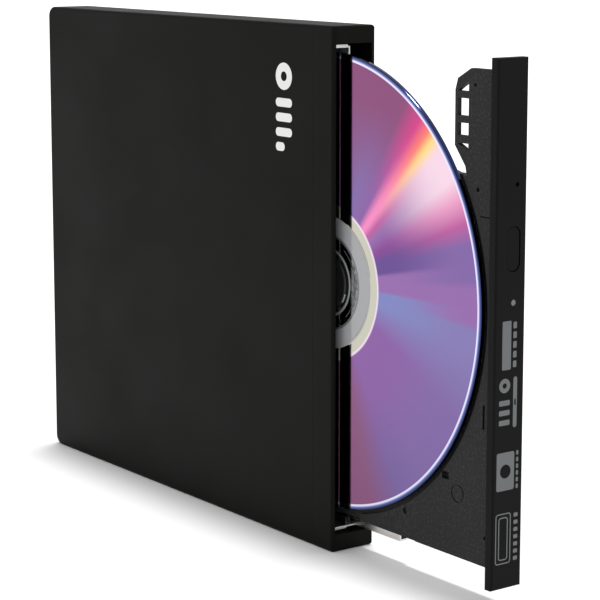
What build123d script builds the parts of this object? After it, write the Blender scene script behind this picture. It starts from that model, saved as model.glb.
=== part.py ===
"""Slim external optical drive, standing on its narrow side with the drawer part-way out.

Millimetres, +Z up. The lid faces -X, the base cover with the feet faces +X, the drawer slides out
towards -Y. The origin is the middle of the narrow side that the case stands on.
"""

import os
from math import cos, radians, sin

from build123d import *

os.makedirs("parts", exist_ok=True)

# ---------------------------------------------------------------- driving sizes
# The disc sets the size of the drive, and the drive sets the size of the case.
disc_diameter = 120.0
disc_thickness = 1.2
disc_bore = 15.0
disc_low_margin = 6.3  # disc edge to the lower end of the bezel
disc_high_margin = 1.7  # disc edge to the upper end of the bezel
disc_front_margin = 6.0  # disc edge to the bezel's front face
disc_rear_margin = 2.6  # disc edge to the rear of the drive shell
drive_thickness = 9.5
drawer_out = 60.0  # how far the drawer stands out at rest
drawer_travel = 131.0  # closed to fully open

# Case
wall = 1.0
case_bar = 5.0  # from a narrow side of the case to the drive
lid_clearance = 1.2
base_clearance = 0.5
rear_bay = 15.4  # room behind the drive for the bridge board
collar_depth = 8.7
seam = 0.1
case_edge_radius = 0.8
collar_edge_radius = 1.0
rear_corner_radius = 3.0
bezel_gap_ends = 0.45
bezel_gap_lid = 1.3
bezel_gap_base = 0.7
foot_radius = 4.5
foot_height = 1.0
foot_recess = 0.2
foot_gap = 0.05

# Drive shell and slides
sheet = 0.4
shell_setback = 0.2  # shell front edge behind the closed bezel
thin_side_thickness = 5.1
thin_side_width = 16.5
flange_height = 4.4
slide_gap = 0.15
guide_wall = 0.5
guide_reach = 2.0
guide_length = 92.0
rail_wall = 0.45
rail_length = 110.0
rail_setback = 11.3  # rail front behind the case front when the drawer is closed
rail_zone = 3.8  # from the pan wall to the tray edge

# Drawer
bezel_thickness = 2.4
bezel_edge_radius = 0.5
tray_below_bezel = 1.95  # tray face behind the bezel's lid-side edge
tray_height = 5.55
tray_skin = 2.05
tray_wall = 1.2
tray_rear_gap = 0.6
well_clearance = 1.2
well_depth = 1.25
wing_thickness = 1.3
disc_above_tray = 0.85
hub_above_disc = 0.4
button_travel = 0.6
latch_swing = 15.0
screw_pitch = 3.0

# ---------------------------------------------------------------- places worked out from them
disc_radius = disc_diameter / 2
drive_width = disc_low_margin + disc_diameter + disc_high_margin
drive_depth = disc_front_margin + disc_diameter + disc_rear_margin
case_height = drive_width + 2 * case_bar
case_depth = drive_depth + rear_bay + wall
case_thickness = wall + lid_clearance + drive_thickness + base_clearance + wall

lid_face = -case_thickness / 2
base_face = case_thickness / 2
case_front = -case_depth / 2
case_rear = case_depth / 2
lid_inside = lid_face + wall
base_inside = base_face - wall
drive_low = case_bar
drive_high = case_bar + drive_width
cover_face = lid_inside + lid_clearance
pan_face = cover_face + drive_thickness
pan_floor = pan_face - sheet
shell_front = case_front + bezel_thickness + shell_setback
shell_rear = case_front + drive_depth

bezel_front = case_front - drawer_out
tray_front = bezel_front + bezel_thickness
tray_length = drive_depth - bezel_thickness - sheet - tray_rear_gap
tray_rear = tray_front + tray_length
tray_face = cover_face + tray_below_bezel
tray_under = tray_face + tray_height
tray_low = drive_low + 2 * sheet + rail_zone
thin_low = drive_high - thin_side_width  # outer face of the step in the pan
tray_high = thin_low - sheet - rail_zone
disc_y = bezel_front + disc_front_margin + disc_radius
disc_z = drive_low + disc_low_margin + disc_radius
disc_face = tray_face - disc_above_tray
disc_back = disc_face + disc_thickness
well_radius = disc_radius + well_clearance
well_floor = tray_face + well_depth
closed = drawer_out  # a piece on the drawer moves this far towards +Y to close


# ---------------------------------------------------------------- shared shapes
def slab(x_from, x_to, y_from, y_to, z_from, z_to, mode=Mode.ADD):
    """A block between two corners, added to or cut from the piece being made."""
    middle = ((x_from + x_to) / 2, (y_from + y_to) / 2, (z_from + z_to) / 2)
    with Locations(middle):
        Box(x_to - x_from, y_to - y_from, z_to - z_from, mode=mode)


def post(y, z, radius, x_from, x_to, mode=Mode.ADD):
    """A round post across the thickness of the drive, at one place on its face."""
    with Locations(Location(((x_from + x_to) / 2, y, z), (0, 90, 0))):
        Cylinder(radius, x_to - x_from, mode=mode)


def rod(x, z, radius, y_from, y_to, mode=Mode.ADD):
    """A round rod along the drawer's travel."""
    with Locations(Location((x, (y_from + y_to) / 2, z), (90, 0, 0))):
        Cylinder(radius, y_to - y_from, mode=mode)


def write(shape, name):
    """Label a finished piece and write its STEP file."""
    shape.label = name
    export_step(shape, f"parts/{name}.step")


# ================================================================ case
# Case screws stand in the narrow bars beside the drive, in bosses as wide as the bar allows.
boss_clearance = 0.3
boss_radius = (case_bar - wall) / 2 - boss_clearance
case_screw_radius = 0.8
case_screw_length = 6.0
screw_head_radius = 1.4
screw_head_height = 0.6
boss_front_inset = 16.0  # from the case front to the front pair of bosses
boss_rear_inset = 6.5  # from the case rear to the rear pair
boss_low = wall + boss_clearance + boss_radius
boss_places = [
    (y, z)
    for y in (case_front + boss_front_inset, case_rear - boss_rear_inset)
    for z in (boss_low, case_height - boss_low)
]

# The USB socket and the slim SATA pair sit on the bridge board, behind the drive.
board_thickness = 1.0
bridge_face = pan_face - 2.1
bridge_width = 12.6
bridge_rear = case_rear - wall - 0.6
bridge_low = drive_low + 6.0
bridge_length = 62.0
usb_width = 7.7
usb_height = 3.9
usb_depth = 9.2
usb_z = bridge_low + 47.0
usb_sheet = 0.35
usb_window_gap = 0.35
usb_face = bridge_face - usb_height
board_post_radius = 2.0

with BuildPart() as lid:
    with BuildSketch(Plane.YZ.offset(lid_face)):
        with BuildLine():
            Polyline(
                (case_front + collar_depth + seam, 0),
                (case_rear, 0),
                (case_rear, case_height),
                (case_front + collar_depth + seam, case_height),
                close=True,
            )
        make_face()
        rear_corners = vertices().group_by(Axis.X)[-1]
        fillet(rear_corners, rear_corner_radius)
    extrude(amount=base_inside - seam - lid_face)
    outer_rim = faces().sort_by(Axis.X)[0].edges()
    front_rim = outer_rim.sort_by(Axis.Y)[0]
    fillet([edge for edge in outer_rim if edge != front_rim], case_edge_radius)
    with BuildSketch(Plane.YZ.offset(lid_inside)):
        with BuildLine():
            Polyline(
                (case_front, wall),
                (case_rear - wall, wall),
                (case_rear - wall, case_height - wall),
                (case_front, case_height - wall),
                close=True,
            )
        make_face()
        fillet(vertices().group_by(Axis.X)[-1], rear_corner_radius - wall)
    extrude(amount=case_thickness, mode=Mode.SUBTRACT)
    # Screw bosses run from the lid to the base cover.
    for y, z in boss_places:
        post(y, z, boss_radius, lid_inside, base_inside)
        post(y, z, case_screw_radius, base_inside - case_screw_length, base_inside, Mode.SUBTRACT)
    # Two ribs stop the drive from sliding back.
    for z in (disc_z - disc_radius / 3, disc_z + disc_radius / 2):
        slab(lid_inside, pan_floor, shell_rear, shell_rear + wall, z, z + 2 * wall)
    # The window for the USB socket.
    slab(
        usb_face - usb_window_gap,
        bridge_face + usb_window_gap,
        case_rear - 2 * wall,
        case_rear + wall,
        usb_z - usb_width / 2 - usb_window_gap,
        usb_z + usb_width / 2 + usb_window_gap,
        Mode.SUBTRACT,
    )
write(lid.part, "lid")

foot_inset_y = 14.0
foot_inset_z = 13.0
feet_places = [
    (y, z)
    for y in (case_front + foot_inset_y, case_rear - foot_inset_y)
    for z in (foot_inset_z, case_height - foot_inset_z)
]
rib_width = 1.2

with BuildPart() as base_cover:
    with BuildSketch(Plane.YZ.offset(base_inside)):
        with BuildLine():
            Polyline(
                (case_front + collar_depth + seam, 0),
                (case_rear, 0),
                (case_rear, case_height),
                (case_front + collar_depth + seam, case_height),
                close=True,
            )
        make_face()
        fillet(vertices().group_by(Axis.X)[-1], rear_corner_radius)
    extrude(amount=wall)
    base_rim = faces().sort_by(Axis.X)[-1].edges()
    base_front_rim = base_rim.sort_by(Axis.Y)[0]
    fillet([edge for edge in base_rim if edge != base_front_rim], case_edge_radius)
    for y, z in feet_places:
        post(y, z, foot_radius + foot_gap, base_face - foot_recess, base_face, Mode.SUBTRACT)
    for y, z in boss_places:
        post(y, z, case_screw_radius, base_inside, base_face, Mode.SUBTRACT)
        post(y, z, screw_head_radius, base_face - screw_head_height, base_face, Mode.SUBTRACT)
    # Long ribs carry the drive, and two posts carry the bridge board.
    for z in (drive_low + drive_width / 5, disc_z, thin_low - rib_width * 4):
        slab(pan_face, base_inside, shell_front + collar_depth, shell_rear, z, z + rib_width)
    for z in (bridge_low + board_post_radius + 1, bridge_low + bridge_length - board_post_radius - 1):
        post_y = bridge_rear - bridge_width / 3
        post(post_y, z, board_post_radius, bridge_face + board_thickness, base_inside)
write(base_cover.part, "base_cover")

tab_length = 4.0
tab_thickness = 0.8
tab_width = 10.0

with BuildPart() as front_collar:
    slab(lid_face, base_face, case_front, case_front + collar_depth, 0, case_height)
    upright_front_edges = edges().filter_by(Axis.Z).group_by(Axis.Y)[0].sort_by(Axis.X)
    fillet(upright_front_edges[0], collar_edge_radius)
    long_edges = edges().filter_by(Axis.Y)
    fillet(long_edges, case_edge_radius)
    slab(
        cover_face - bezel_gap_lid,
        pan_face + bezel_gap_base,
        case_front - wall,
        case_front + collar_depth + wall,
        drive_low - bezel_gap_ends,
        drive_high + bezel_gap_ends,
        Mode.SUBTRACT,
    )
    # Snap tabs reach back inside the lid and the two narrow sides.
    tab_back = case_front + collar_depth + tab_length
    for z in (case_height / 5, case_height / 2, case_height * 4 / 5):
        slab(
            lid_inside,
            lid_inside + tab_thickness,
            case_front + collar_depth,
            tab_back,
            z - tab_width / 2,
            z + tab_width / 2,
        )
        slab(
            lid_face + case_edge_radius,
            lid_inside + tab_thickness - bezel_gap_ends,
            case_front + collar_depth - tab_thickness,
            case_front + collar_depth,
            z - tab_width / 2,
            z + tab_width / 2,
        )
    for z_outer, z_inner in (
        (wall, wall + tab_thickness),
        (case_height - wall - tab_thickness, case_height - wall),
    ):
        slab(
            -tab_width / 4,
            tab_width / 4,
            case_front + collar_depth - tab_thickness,
            tab_back,
            z_outer,
            z_inner,
        )
write(front_collar.part, "front_collar")

with BuildPart() as rubber_feet:
    for y, z in feet_places:
        post(y, z, foot_radius, base_face - foot_recess, base_face + foot_height - foot_recess)
    foot_rims = faces().group_by(Axis.X)[-1].edges()
    fillet(foot_rims, foot_recess)
write(rubber_feet.part, "rubber_feet")

recess_reach = 0.9  # arms of the cross recess in a screw head
recess_half_width = 0.2
with BuildPart() as case_screws:
    recess_from = base_face - screw_head_height / 2
    for y, z in boss_places:
        post(y, z, case_screw_radius, base_inside - case_screw_length, base_face - screw_head_height)
        post(y, z, screw_head_radius, base_face - screw_head_height, base_face)
        for reach_y, reach_z in ((recess_reach, recess_half_width), (recess_half_width, recess_reach)):
            slab(recess_from, base_face, y - reach_y, y + reach_y, z - reach_z, z + reach_z, Mode.SUBTRACT)
write(case_screws.part, "case_screws")

foam_width = 8.0
with BuildPart() as foam_pads:
    for z in (drive_low + drive_width / 5, drive_high - drive_width / 5):
        foam_front = shell_front + 3 * collar_depth
        slab(lid_inside, cover_face, foam_front, shell_rear - collar_depth, z, z + foam_width)
write(foam_pads.part, "foam_pads")

# ---------------------------------------------------------------- bridge board behind the drive
sata_height = 4.2
sata_width = 20.0
sata_z = bridge_low + sata_width / 2 + 1.0
sata_reach = 4.6  # depth of each half of the connector
sata_lap = 0.2  # gap between the two halves' faces

with BuildPart() as bridge_board:
    slab(
        bridge_face,
        bridge_face + board_thickness,
        bridge_rear - bridge_width,
        bridge_rear,
        bridge_low,
        bridge_low + bridge_length,
    )
write(bridge_board.part, "bridge_board")

chip_height = 1.1
controller_half = 4.0
coil_half = 2.5
capacitor_radius = 0.9
with BuildPart() as bridge_chips:
    # The controller, its crystal, a coil and two capacitors stand on the lid side of the board.
    chip_y = bridge_rear - bridge_width / 2
    chip_z = bridge_low + bridge_length / 2 - 1.0
    coil_z = chip_z + 27.5
    for x_from, z_middle, y_half, z_half in (
        (bridge_face - chip_height, chip_z, controller_half, controller_half),
        (bridge_face - chip_height, chip_z + 6.0, controller_half / 2, 0.8),
        (bridge_face - 2 * chip_height, coil_z, coil_half, coil_half),
    ):
        slab(x_from, bridge_face, chip_y - y_half, chip_y + y_half, z_middle - z_half, z_middle + z_half)
    for y in (chip_y - controller_half, chip_y + controller_half):
        post(y, coil_z, capacitor_radius, bridge_face - 2 * chip_height, bridge_face)
write(bridge_chips.part, "bridge_chips")

with BuildPart() as usb_socket:
    usb_rear = case_rear - 0.2
    usb_half = usb_width / 2
    slab(usb_face, bridge_face, usb_rear - usb_depth, usb_rear, usb_z - usb_half, usb_z + usb_half)
    usb_upper_corners = edges().filter_by(Axis.Y).group_by(Axis.X)[0]
    fillet(usb_upper_corners, 0.6)
    slab(
        usb_face + usb_sheet,
        bridge_face - usb_sheet,
        usb_rear - usb_depth + 2 * usb_sheet,
        usb_rear + usb_sheet,
        usb_z - usb_half + usb_sheet,
        usb_z + usb_half - usb_sheet,
        Mode.SUBTRACT,
    )
    # The tongue with the contacts, inside the metal shell.
    slab(
        usb_face + usb_height / 2 - 0.45,
        usb_face + usb_height / 2 + 0.45,
        usb_rear - usb_depth + 2 * usb_sheet,
        usb_rear - 1.2,
        usb_z - usb_width / 3,
        usb_z + usb_width / 3,
    )
write(usb_socket.part, "usb_socket")

with BuildPart() as sata_plug:
    slab(
        bridge_face - sata_height,
        bridge_face,
        shell_rear + sata_lap,
        shell_rear + sata_lap + sata_reach,
        sata_z - sata_width / 2,
        sata_z + sata_width / 2,
    )
    slab(
        bridge_face - sata_height * 0.7,
        bridge_face - sata_height * 0.3,
        shell_rear - 1.6,
        shell_rear + sata_lap,
        sata_z - sata_width * 0.42,
        sata_z + sata_width * 0.42,
    )
write(sata_plug.part, "sata_plug")

# ================================================================ drive shell
pan_wall_low = drive_low + sheet  # outer face of the pan's lower side wall, inside the cover's flange
pan_inner_low = drive_low + 2 * sheet
pan_inner_thin = thin_low - sheet
thin_floor = cover_face + thin_side_thickness  # outer face of the pan under the thin side
shell_screw_y = (shell_front + 20.0, shell_rear - 20.0)
shell_screw_radius = 0.8
shell_screw_x = cover_face + flange_height / 2 + 0.2

with BuildPart() as drive_cover:
    slab(cover_face, cover_face + sheet, shell_front, shell_rear, drive_low, drive_high)
    slab(cover_face, cover_face + flange_height, shell_front, shell_rear, drive_low, drive_low + sheet)
    slab(cover_face, cover_face + flange_height, shell_front, shell_rear, drive_high - sheet, drive_high)
    for y in shell_screw_y:
        for z in (drive_low, drive_high):
            with Locations((shell_screw_x, y, z)):
                Cylinder(shell_screw_radius, 4 * sheet, mode=Mode.SUBTRACT)
write(drive_cover.part, "drive_cover")

socket_window = 1.0
rear_board_face = bridge_face
with BuildPart() as drive_pan:
    # Floor, step and thin side as one folded sheet, drawn across the drive and run along it.
    with BuildSketch(Plane.XZ.offset(-shell_rear)):
        with BuildLine():
            Polyline(
                (cover_face + sheet, pan_wall_low),
                (pan_face, pan_wall_low),
                (pan_face, thin_low),
                (thin_floor, thin_low),
                (thin_floor, drive_high - sheet),
                (cover_face + sheet, drive_high - sheet),
                (cover_face + sheet, drive_high - 2 * sheet),
                (thin_floor - sheet, drive_high - 2 * sheet),
                (thin_floor - sheet, pan_inner_thin),
                (pan_floor, pan_inner_thin),
                (pan_floor, pan_inner_low),
                (cover_face + sheet, pan_inner_low),
                close=True,
            )
        make_face()
    extrude(amount=shell_rear - shell_front)
    # Rear wall, with the window for the SATA socket.
    slab(cover_face + sheet, pan_floor, shell_rear - sheet, shell_rear, pan_inner_low, pan_inner_thin)
    slab(
        bridge_face - sata_height - socket_window,
        pan_floor,
        shell_rear - 2 * sheet,
        shell_rear + sheet,
        sata_z - sata_width / 2 - socket_window,
        sata_z + sata_width / 2 + socket_window,
        Mode.SUBTRACT,
    )
    for y in shell_screw_y:
        for z in (drive_low, drive_high):
            with Locations((shell_screw_x, y, z)):
                Cylinder(shell_screw_radius, 4 * sheet, mode=Mode.SUBTRACT)
write(drive_pan.part, "drive_pan")

with BuildPart() as shell_screws:
    for y in shell_screw_y:
        for z, outward in ((drive_low, -1), (drive_high, 1)):
            with Locations((shell_screw_x, y, z - outward * sheet)):
                Cylinder(shell_screw_radius, 2 * sheet)
            with Locations((shell_screw_x, y, z + outward * sheet / 2)):
                Cylinder(2 * shell_screw_radius, sheet)
write(shell_screws.part, "shell_screws")

# ---------------------------------------------------------------- slides
# Each side has a fixed guide, a sliding rail inside it and a tongue on the tray inside the rail.
slide_middle = (pan_inner_low + pan_inner_thin) / 2
tongue_from = tray_under - 1.5
tongue_to = tray_under - 0.1
rail_from = tongue_from - slide_gap - rail_wall
rail_to = tongue_to + slide_gap + rail_wall
guide_from = rail_from - slide_gap - guide_wall
guide_to = rail_to + slide_gap + guide_wall
rail_base = pan_inner_low + guide_wall + slide_gap
rail_tip = tray_low - 0.3
tongue_tip = rail_base + rail_wall + slide_gap
rail_front = case_front + rail_setback - drawer_out / 2
tongue_start = rail_front + 2.0


def channel(x_from, x_to, y_from, y_to, z_base, z_tip, thickness, side):
    """A U-shaped channel open towards the drawer; side is 1 below the drawer and -1 above it."""

    def level(z):
        return z if side == 1 else 2 * slide_middle - z

    web = sorted((level(z_base), level(z_base + thickness)))
    lips = sorted((level(z_base), level(z_tip)))
    slab(x_from, x_to, y_from, y_to, *web)
    slab(x_from, x_from + thickness, y_from, y_to, *lips)
    slab(x_to - thickness, x_to, y_from, y_to, *lips)


guide_front = shell_front + 0.8
with BuildPart() as lower_guide:
    channel(
        guide_from,
        guide_to,
        guide_front,
        guide_front + guide_length,
        pan_inner_low,
        pan_inner_low + guide_reach,
        guide_wall,
        1,
    )
write(lower_guide.part, "lower_guide")

with BuildPart() as upper_guide:
    channel(
        guide_from,
        guide_to,
        guide_front,
        guide_front + guide_length,
        pan_inner_low,
        pan_inner_low + guide_reach,
        guide_wall,
        -1,
    )
write(upper_guide.part, "upper_guide")

with BuildPart() as lower_rail:
    channel(rail_from, rail_to, rail_front, rail_front + rail_length, rail_base, rail_tip, rail_wall, 1)
write(lower_rail.part, "lower_rail")

with BuildPart() as upper_rail:
    channel(rail_from, rail_to, rail_front, rail_front + rail_length, rail_base, rail_tip, rail_wall, -1)
write(upper_rail.part, "upper_rail")

# ---------------------------------------------------------------- connectors at the rear of the shell
rear_board_depth = 7.4
rear_board_thickness = 0.8
ribbon_thickness = 0.12
ribbon_low = sata_z - 7.0
ribbon_high = sata_z + 7.0
ribbon_fixed_face = pan_floor - 0.3
ribbon_moving_face = tray_under + 0.3
rear_board_front = shell_rear - sheet - rear_board_depth
ribbon_end = rear_board_front + 1.0

with BuildPart() as rear_board:
    slab(
        rear_board_face,
        rear_board_face + rear_board_thickness,
        rear_board_front,
        shell_rear - sheet - 0.1,
        sata_z - sata_width / 2,
        sata_z + sata_width / 2,
    )
write(rear_board.part, "rear_board")

with BuildPart() as sata_socket:
    slab(
        rear_board_face - sata_height,
        rear_board_face,
        shell_rear - sata_reach,
        shell_rear,
        sata_z - sata_width / 2,
        sata_z + sata_width / 2,
    )
    slab(
        rear_board_face - sata_height * 0.8,
        rear_board_face - sata_height * 0.2,
        shell_rear - sata_reach * 0.6,
        shell_rear + 1.0,
        sata_z - sata_width * 0.46,
        sata_z + sata_width * 0.46,
        Mode.SUBTRACT,
    )
write(sata_socket.part, "sata_socket")

with BuildPart() as ribbon_socket:
    slab(
        rear_board_face + rear_board_thickness,
        pan_floor,
        ribbon_end,
        ribbon_end + 3.0,
        ribbon_low - 0.5,
        ribbon_high + 0.5,
    )
write(ribbon_socket.part, "ribbon_socket")

# ================================================================ drawer
# Heights above the disc's axis, and depths behind the tray's front edge, of the tray's outline.
wing_top = disc_z + disc_radius - 1.3
wing_reach = 15.1
wing_rim = 0.85
wing_foot = disc_z + 33.0
neck_depth = 20.0
shoulder_depth = 27.0
opening_front = disc_y - 22.0
opening_rear = tray_rear - 1.4
opening_low = disc_z - 34.0
opening_high = disc_z + 31.0
socket_notch_depth = rear_board_depth + sheet + 1.0
latch_pin_z = disc_z + 36.2
latch_pin_radius = 0.8
latch_pin_y = case_front + bezel_thickness + 8.0
pin_lane = 1.5
hole_x = cover_face + 6.42
hole_z = disc_z + 31.9
hole_radius = 0.6
button_x = cover_face + 5.5
button_z = disc_z + 16.6
button_width = 4.1
button_length = 10.8
button_gap = 0.15
light_x = cover_face + 5.77
light_z = disc_z + 3.7
light_radius = 0.75
clip_places = (disc_z - 50.0, disc_z - 20.0)
clip_from = tray_under - 1.4
clip_to = tray_under - 0.5
clip_half_length = 2.0
clip_reach = 2.4
clip_clearance = 0.1
lever_y = tray_front + 22.0
lever_z = disc_z + 31.7
lever_from = tray_under - 1.4
lever_to = tray_under - 0.4
pivot_radius = 0.9
pivot_clearance = 0.05
latch_slot_front = tray_front + 2.0

with BuildPart() as tray:
    # Main body, as deep as the rails need.
    with BuildSketch(Plane.YZ.offset(tray_face)):
        with BuildLine():
            Polyline(
                (tray_front, tray_low),
                (tray_rear, tray_low),
                (tray_rear, tray_high),
                (tray_front + shoulder_depth, tray_high),
                (tray_front + neck_depth, wing_foot),
                (tray_front, wing_foot),
                close=True,
            )
        make_face()
    extrude(amount=tray_height)
    # Hollow underneath, with a wall all round.
    with BuildSketch(Plane.YZ.offset(tray_face + tray_skin)):
        with BuildLine():
            Polyline(
                (tray_front + tray_wall, tray_low + tray_wall),
                (tray_rear - tray_wall, tray_low + tray_wall),
                (tray_rear - tray_wall, tray_high - tray_wall),
                (tray_front + shoulder_depth + tray_wall / 2, tray_high - tray_wall),
                (tray_front + neck_depth + tray_wall / 2, wing_foot - tray_wall),
                (tray_front + tray_wall, wing_foot - tray_wall),
                close=True,
            )
        make_face()
    extrude(amount=tray_height, mode=Mode.SUBTRACT)
    # The thin wing beside the disc.
    with BuildSketch(Plane.YZ.offset(tray_face)):
        with BuildLine():
            Polyline(
                (tray_front, wing_foot - 0.1),
                (tray_front + 10.65, wing_foot - 0.1),
                (tray_front + 11.2, disc_z + 35.2),
                (tray_front + wing_reach, disc_z + 40.0),
                (tray_front + wing_reach, disc_z + 53.3),
                (tray_front + 14.2, disc_z + 56.1),
                (tray_front + 9.4, wing_top),
                (tray_front, wing_top),
                close=True,
            )
        make_face()
    extrude(amount=wing_thickness)
    # Two slots and two three-cornered openings lighten the wing's outer edge.
    with BuildSketch(Plane.YZ.offset(tray_face)):
        slot_near = tray_front + 10.2
        slot_far = tray_front + wing_reach - wing_rim
        for slot_low, slot_high in ((47.2, 51.4), (42.5, 45.5)):
            middle = ((slot_near + slot_far) / 2, disc_z + (slot_low + slot_high) / 2)
            with Locations(middle):
                Rectangle(slot_far - slot_near, slot_high - slot_low)
        for tip, base in ((55.6, 53.1), (38.8, 40.6)):
            with BuildLine():
                Polyline(
                    (slot_near, disc_z + tip),
                    (slot_near, disc_z + base),
                    (slot_far, disc_z + base),
                    close=True,
                )
            make_face()
    extrude(amount=wing_thickness, mode=Mode.SUBTRACT)
    # The disc well, open at the rear and at the lowest point of the disc.
    post(disc_y, disc_z, well_radius, tray_face, well_floor, Mode.SUBTRACT)
    slab(
        tray_face,
        well_floor,
        disc_y + disc_radius * 5 / 6,
        tray_rear + wall,
        disc_z - disc_radius / 2,
        disc_z + disc_radius / 2,
        Mode.SUBTRACT,
    )
    slab(
        tray_face,
        well_floor,
        disc_y - disc_radius / 5,
        disc_y + disc_radius / 5,
        tray_low - wall,
        disc_z - disc_radius * 0.9,
        Mode.SUBTRACT,
    )
    # The window that the traverse unit looks through.
    slab(tray_face, tray_under, opening_front, opening_rear, opening_low, opening_high, Mode.SUBTRACT)
    # Tongues in the slide rails.
    for z_inner, z_tip in ((tray_low, tongue_tip), (tray_high, 2 * slide_middle - tongue_tip)):
        slab(tongue_from, tongue_to, tongue_start, tray_rear, *sorted((z_inner, z_tip)))
    # A notch for the rear connectors, a lane for the latch pin and a slot for the latch finger.
    slab(
        tray_face,
        tray_under,
        tray_rear - socket_notch_depth,
        tray_rear,
        tray_low - wall * 3,
        sata_z + sata_width / 2 + 1.0,
        Mode.SUBTRACT,
    )
    slab(
        lever_from - 0.3,
        tray_under,
        tray_front + 6.0,
        tray_rear,
        latch_pin_z - pin_lane,
        latch_pin_z + pin_lane,
        Mode.SUBTRACT,
    )
    slab(
        lever_from - 0.5,
        tray_under,
        latch_slot_front,
        tray_front + 24.0,
        wing_foot - 2 * tray_wall,
        latch_pin_z,
        Mode.SUBTRACT,
    )
    # Windows in the front wall for the button, the light, the release slider and the bezel's clips.
    slab(
        button_x - button_width / 2 - 0.6,
        tray_under,
        tray_front,
        tray_front + tray_wall,
        button_z - button_length / 2 - 0.6,
        button_z + button_length / 2 + 0.6,
        Mode.SUBTRACT,
    )
    rod(light_x, light_z, light_radius + 0.1, tray_front, tray_front + tray_wall, Mode.SUBTRACT)
    slab(
        hole_x - 1.1,
        tray_under,
        tray_front,
        latch_slot_front + 0.1,
        hole_z - 1.3,
        hole_z + 1.1,
        Mode.SUBTRACT,
    )
    for z in clip_places:
        slab(
            clip_from - clip_clearance,
            tray_under,
            tray_front,
            tray_front + tray_wall,
            z - clip_half_length - clip_clearance,
            z + clip_half_length + clip_clearance,
            Mode.SUBTRACT,
        )
    # The pivot post of the latch lever.
    post(lever_y, lever_z, pivot_radius, tray_face + tray_skin - 0.2, tray_under - 0.1)
    # A stepped area beside the well, a finger notch and the small moulded marks of the upper face.
    step_depth = 0.25
    slab(
        tray_face,
        tray_face + step_depth,
        tray_front + 28.7,
        disc_y,
        tray_low,
        disc_z - 52.1,
        Mode.SUBTRACT,
    )
    slab(
        tray_face,
        well_floor,
        tray_front + 15.9,
        tray_front + 18.6,
        disc_z - 42.9,
        disc_z - 40.9,
        Mode.SUBTRACT,
    )
    with BuildSketch(Plane.YZ.offset(tray_face)):
        with Locations((tray_front + 3.4, disc_z - 24.8)):
            Rectangle(0.8, 6.0)
        with Locations((tray_front + 3.9, disc_z + 23.7)):
            Rectangle(3.5, 0.35)
        with Locations((tray_front + 6.5, disc_z + 30.0)):
            Circle(0.6)
        with Locations((tray_front + 2.5, disc_z - 54.5), (tray_front + 7.9, disc_z + 54.8)):
            Circle(0.45)
        with Locations((tray_front + 33.0, disc_z - 54.7)):
            Rectangle(1.5, 1.5, rotation=45)
    extrude(amount=3 * step_depth, mode=Mode.SUBTRACT)
    with BuildSketch(Plane.YZ.offset(tray_face)):
        with Locations((tray_front + 12.6, disc_z - 45.6)):
            Circle(2.4)
            Circle(1.9, mode=Mode.SUBTRACT)
    extrude(amount=step_depth, mode=Mode.SUBTRACT)
write(tray.part, "tray")

with BuildPart() as bezel:
    slab(cover_face, pan_face, bezel_front, tray_front, drive_low, drive_high)
    front_edges = faces().sort_by(Axis.Y)[0].edges()
    fillet(front_edges, bezel_edge_radius)
    rod(hole_x, hole_z, hole_radius, bezel_front, tray_front, Mode.SUBTRACT)
    with BuildSketch(Plane.XZ.offset(-bezel_front)):
        with Locations((button_x, button_z)):
            SlotOverall(button_length + 2 * button_gap, button_width + 2 * button_gap, rotation=90)
    extrude(amount=-bezel_thickness, mode=Mode.SUBTRACT)
    rod(light_x, light_z, light_radius, bezel_front, tray_front, Mode.SUBTRACT)
    for z in clip_places:
        z_from, z_to = z - clip_half_length, z + clip_half_length
        slab(clip_from, clip_to, tray_front, tray_front + clip_reach, z_from, z_to)
write(bezel.part, "bezel")

with BuildPart() as led_lens:
    rod(light_x, light_z, light_radius, bezel_front + 0.1, tray_front + 2.7)
write(led_lens.part, "led_lens")

with BuildPart() as eject_button:
    with BuildSketch(Plane.XZ.offset(-(bezel_front + 0.15))):
        with Locations((button_x, button_z)):
            SlotOverall(button_length, button_width, rotation=90)
    extrude(amount=-(bezel_thickness - 0.1))
    cap_edges = faces().sort_by(Axis.Y)[0].edges()
    fillet(cap_edges, 0.25)
    button_back = bezel_front + 0.05 + bezel_thickness
    slab(
        button_x - 0.6,
        button_x + 0.6,
        button_back,
        button_back + 1.6,
        button_z - 1.0,
        button_z + 1.0,
    )
write(eject_button.part, "eject_button")

# ---------------------------------------------------------------- boards under the tray
board_face = tray_under - 1.4
tray_board_thickness = 0.8
board_front = tray_front + 3.0
board_low = disc_z - 55.3
board_high = button_z + 3.0
strip_high = opening_low - 8.0
strip_rear = tray_rear - socket_notch_depth - 3.0

with BuildPart() as tray_board:
    board_back = board_face + tray_board_thickness
    slab(board_face, board_back, board_front, opening_front - 8.0, board_low, board_high)
    slab(board_face, board_back, board_front, strip_rear, board_low, strip_high)
write(tray_board.part, "tray_board")

with BuildPart() as tray_chips:
    # Controller, motor driver and memory: height, side, distance behind the board's front, lower end.
    for height, side, behind, low in (
        (1.0, 14.0, 10.0, disc_z - 8.0),
        (1.0, 10.0, 8.0, disc_z - 28.0),
        (1.0, 8.0, 45.0, board_low + 6.0),
    ):
        front = board_front + behind
        slab(board_face - height, board_face, front, front + side, low, low + side)
    # The light behind the light pipe.
    light_from = tray_face + tray_skin + 0.5
    light_front = tray_front + 3.1
    slab(light_from, board_face, light_front, light_front + 1.2, light_z - 0.8, light_z + 0.8)
    # The ribbon's socket on the underside, at the rear of the strip.
    slab(
        board_face + tray_board_thickness,
        ribbon_moving_face + 2 * ribbon_thickness,
        strip_rear - 4.0,
        strip_rear - 0.5,
        ribbon_low - 0.5,
        ribbon_high + 0.5,
    )
write(tray_chips.part, "tray_chips")

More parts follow.
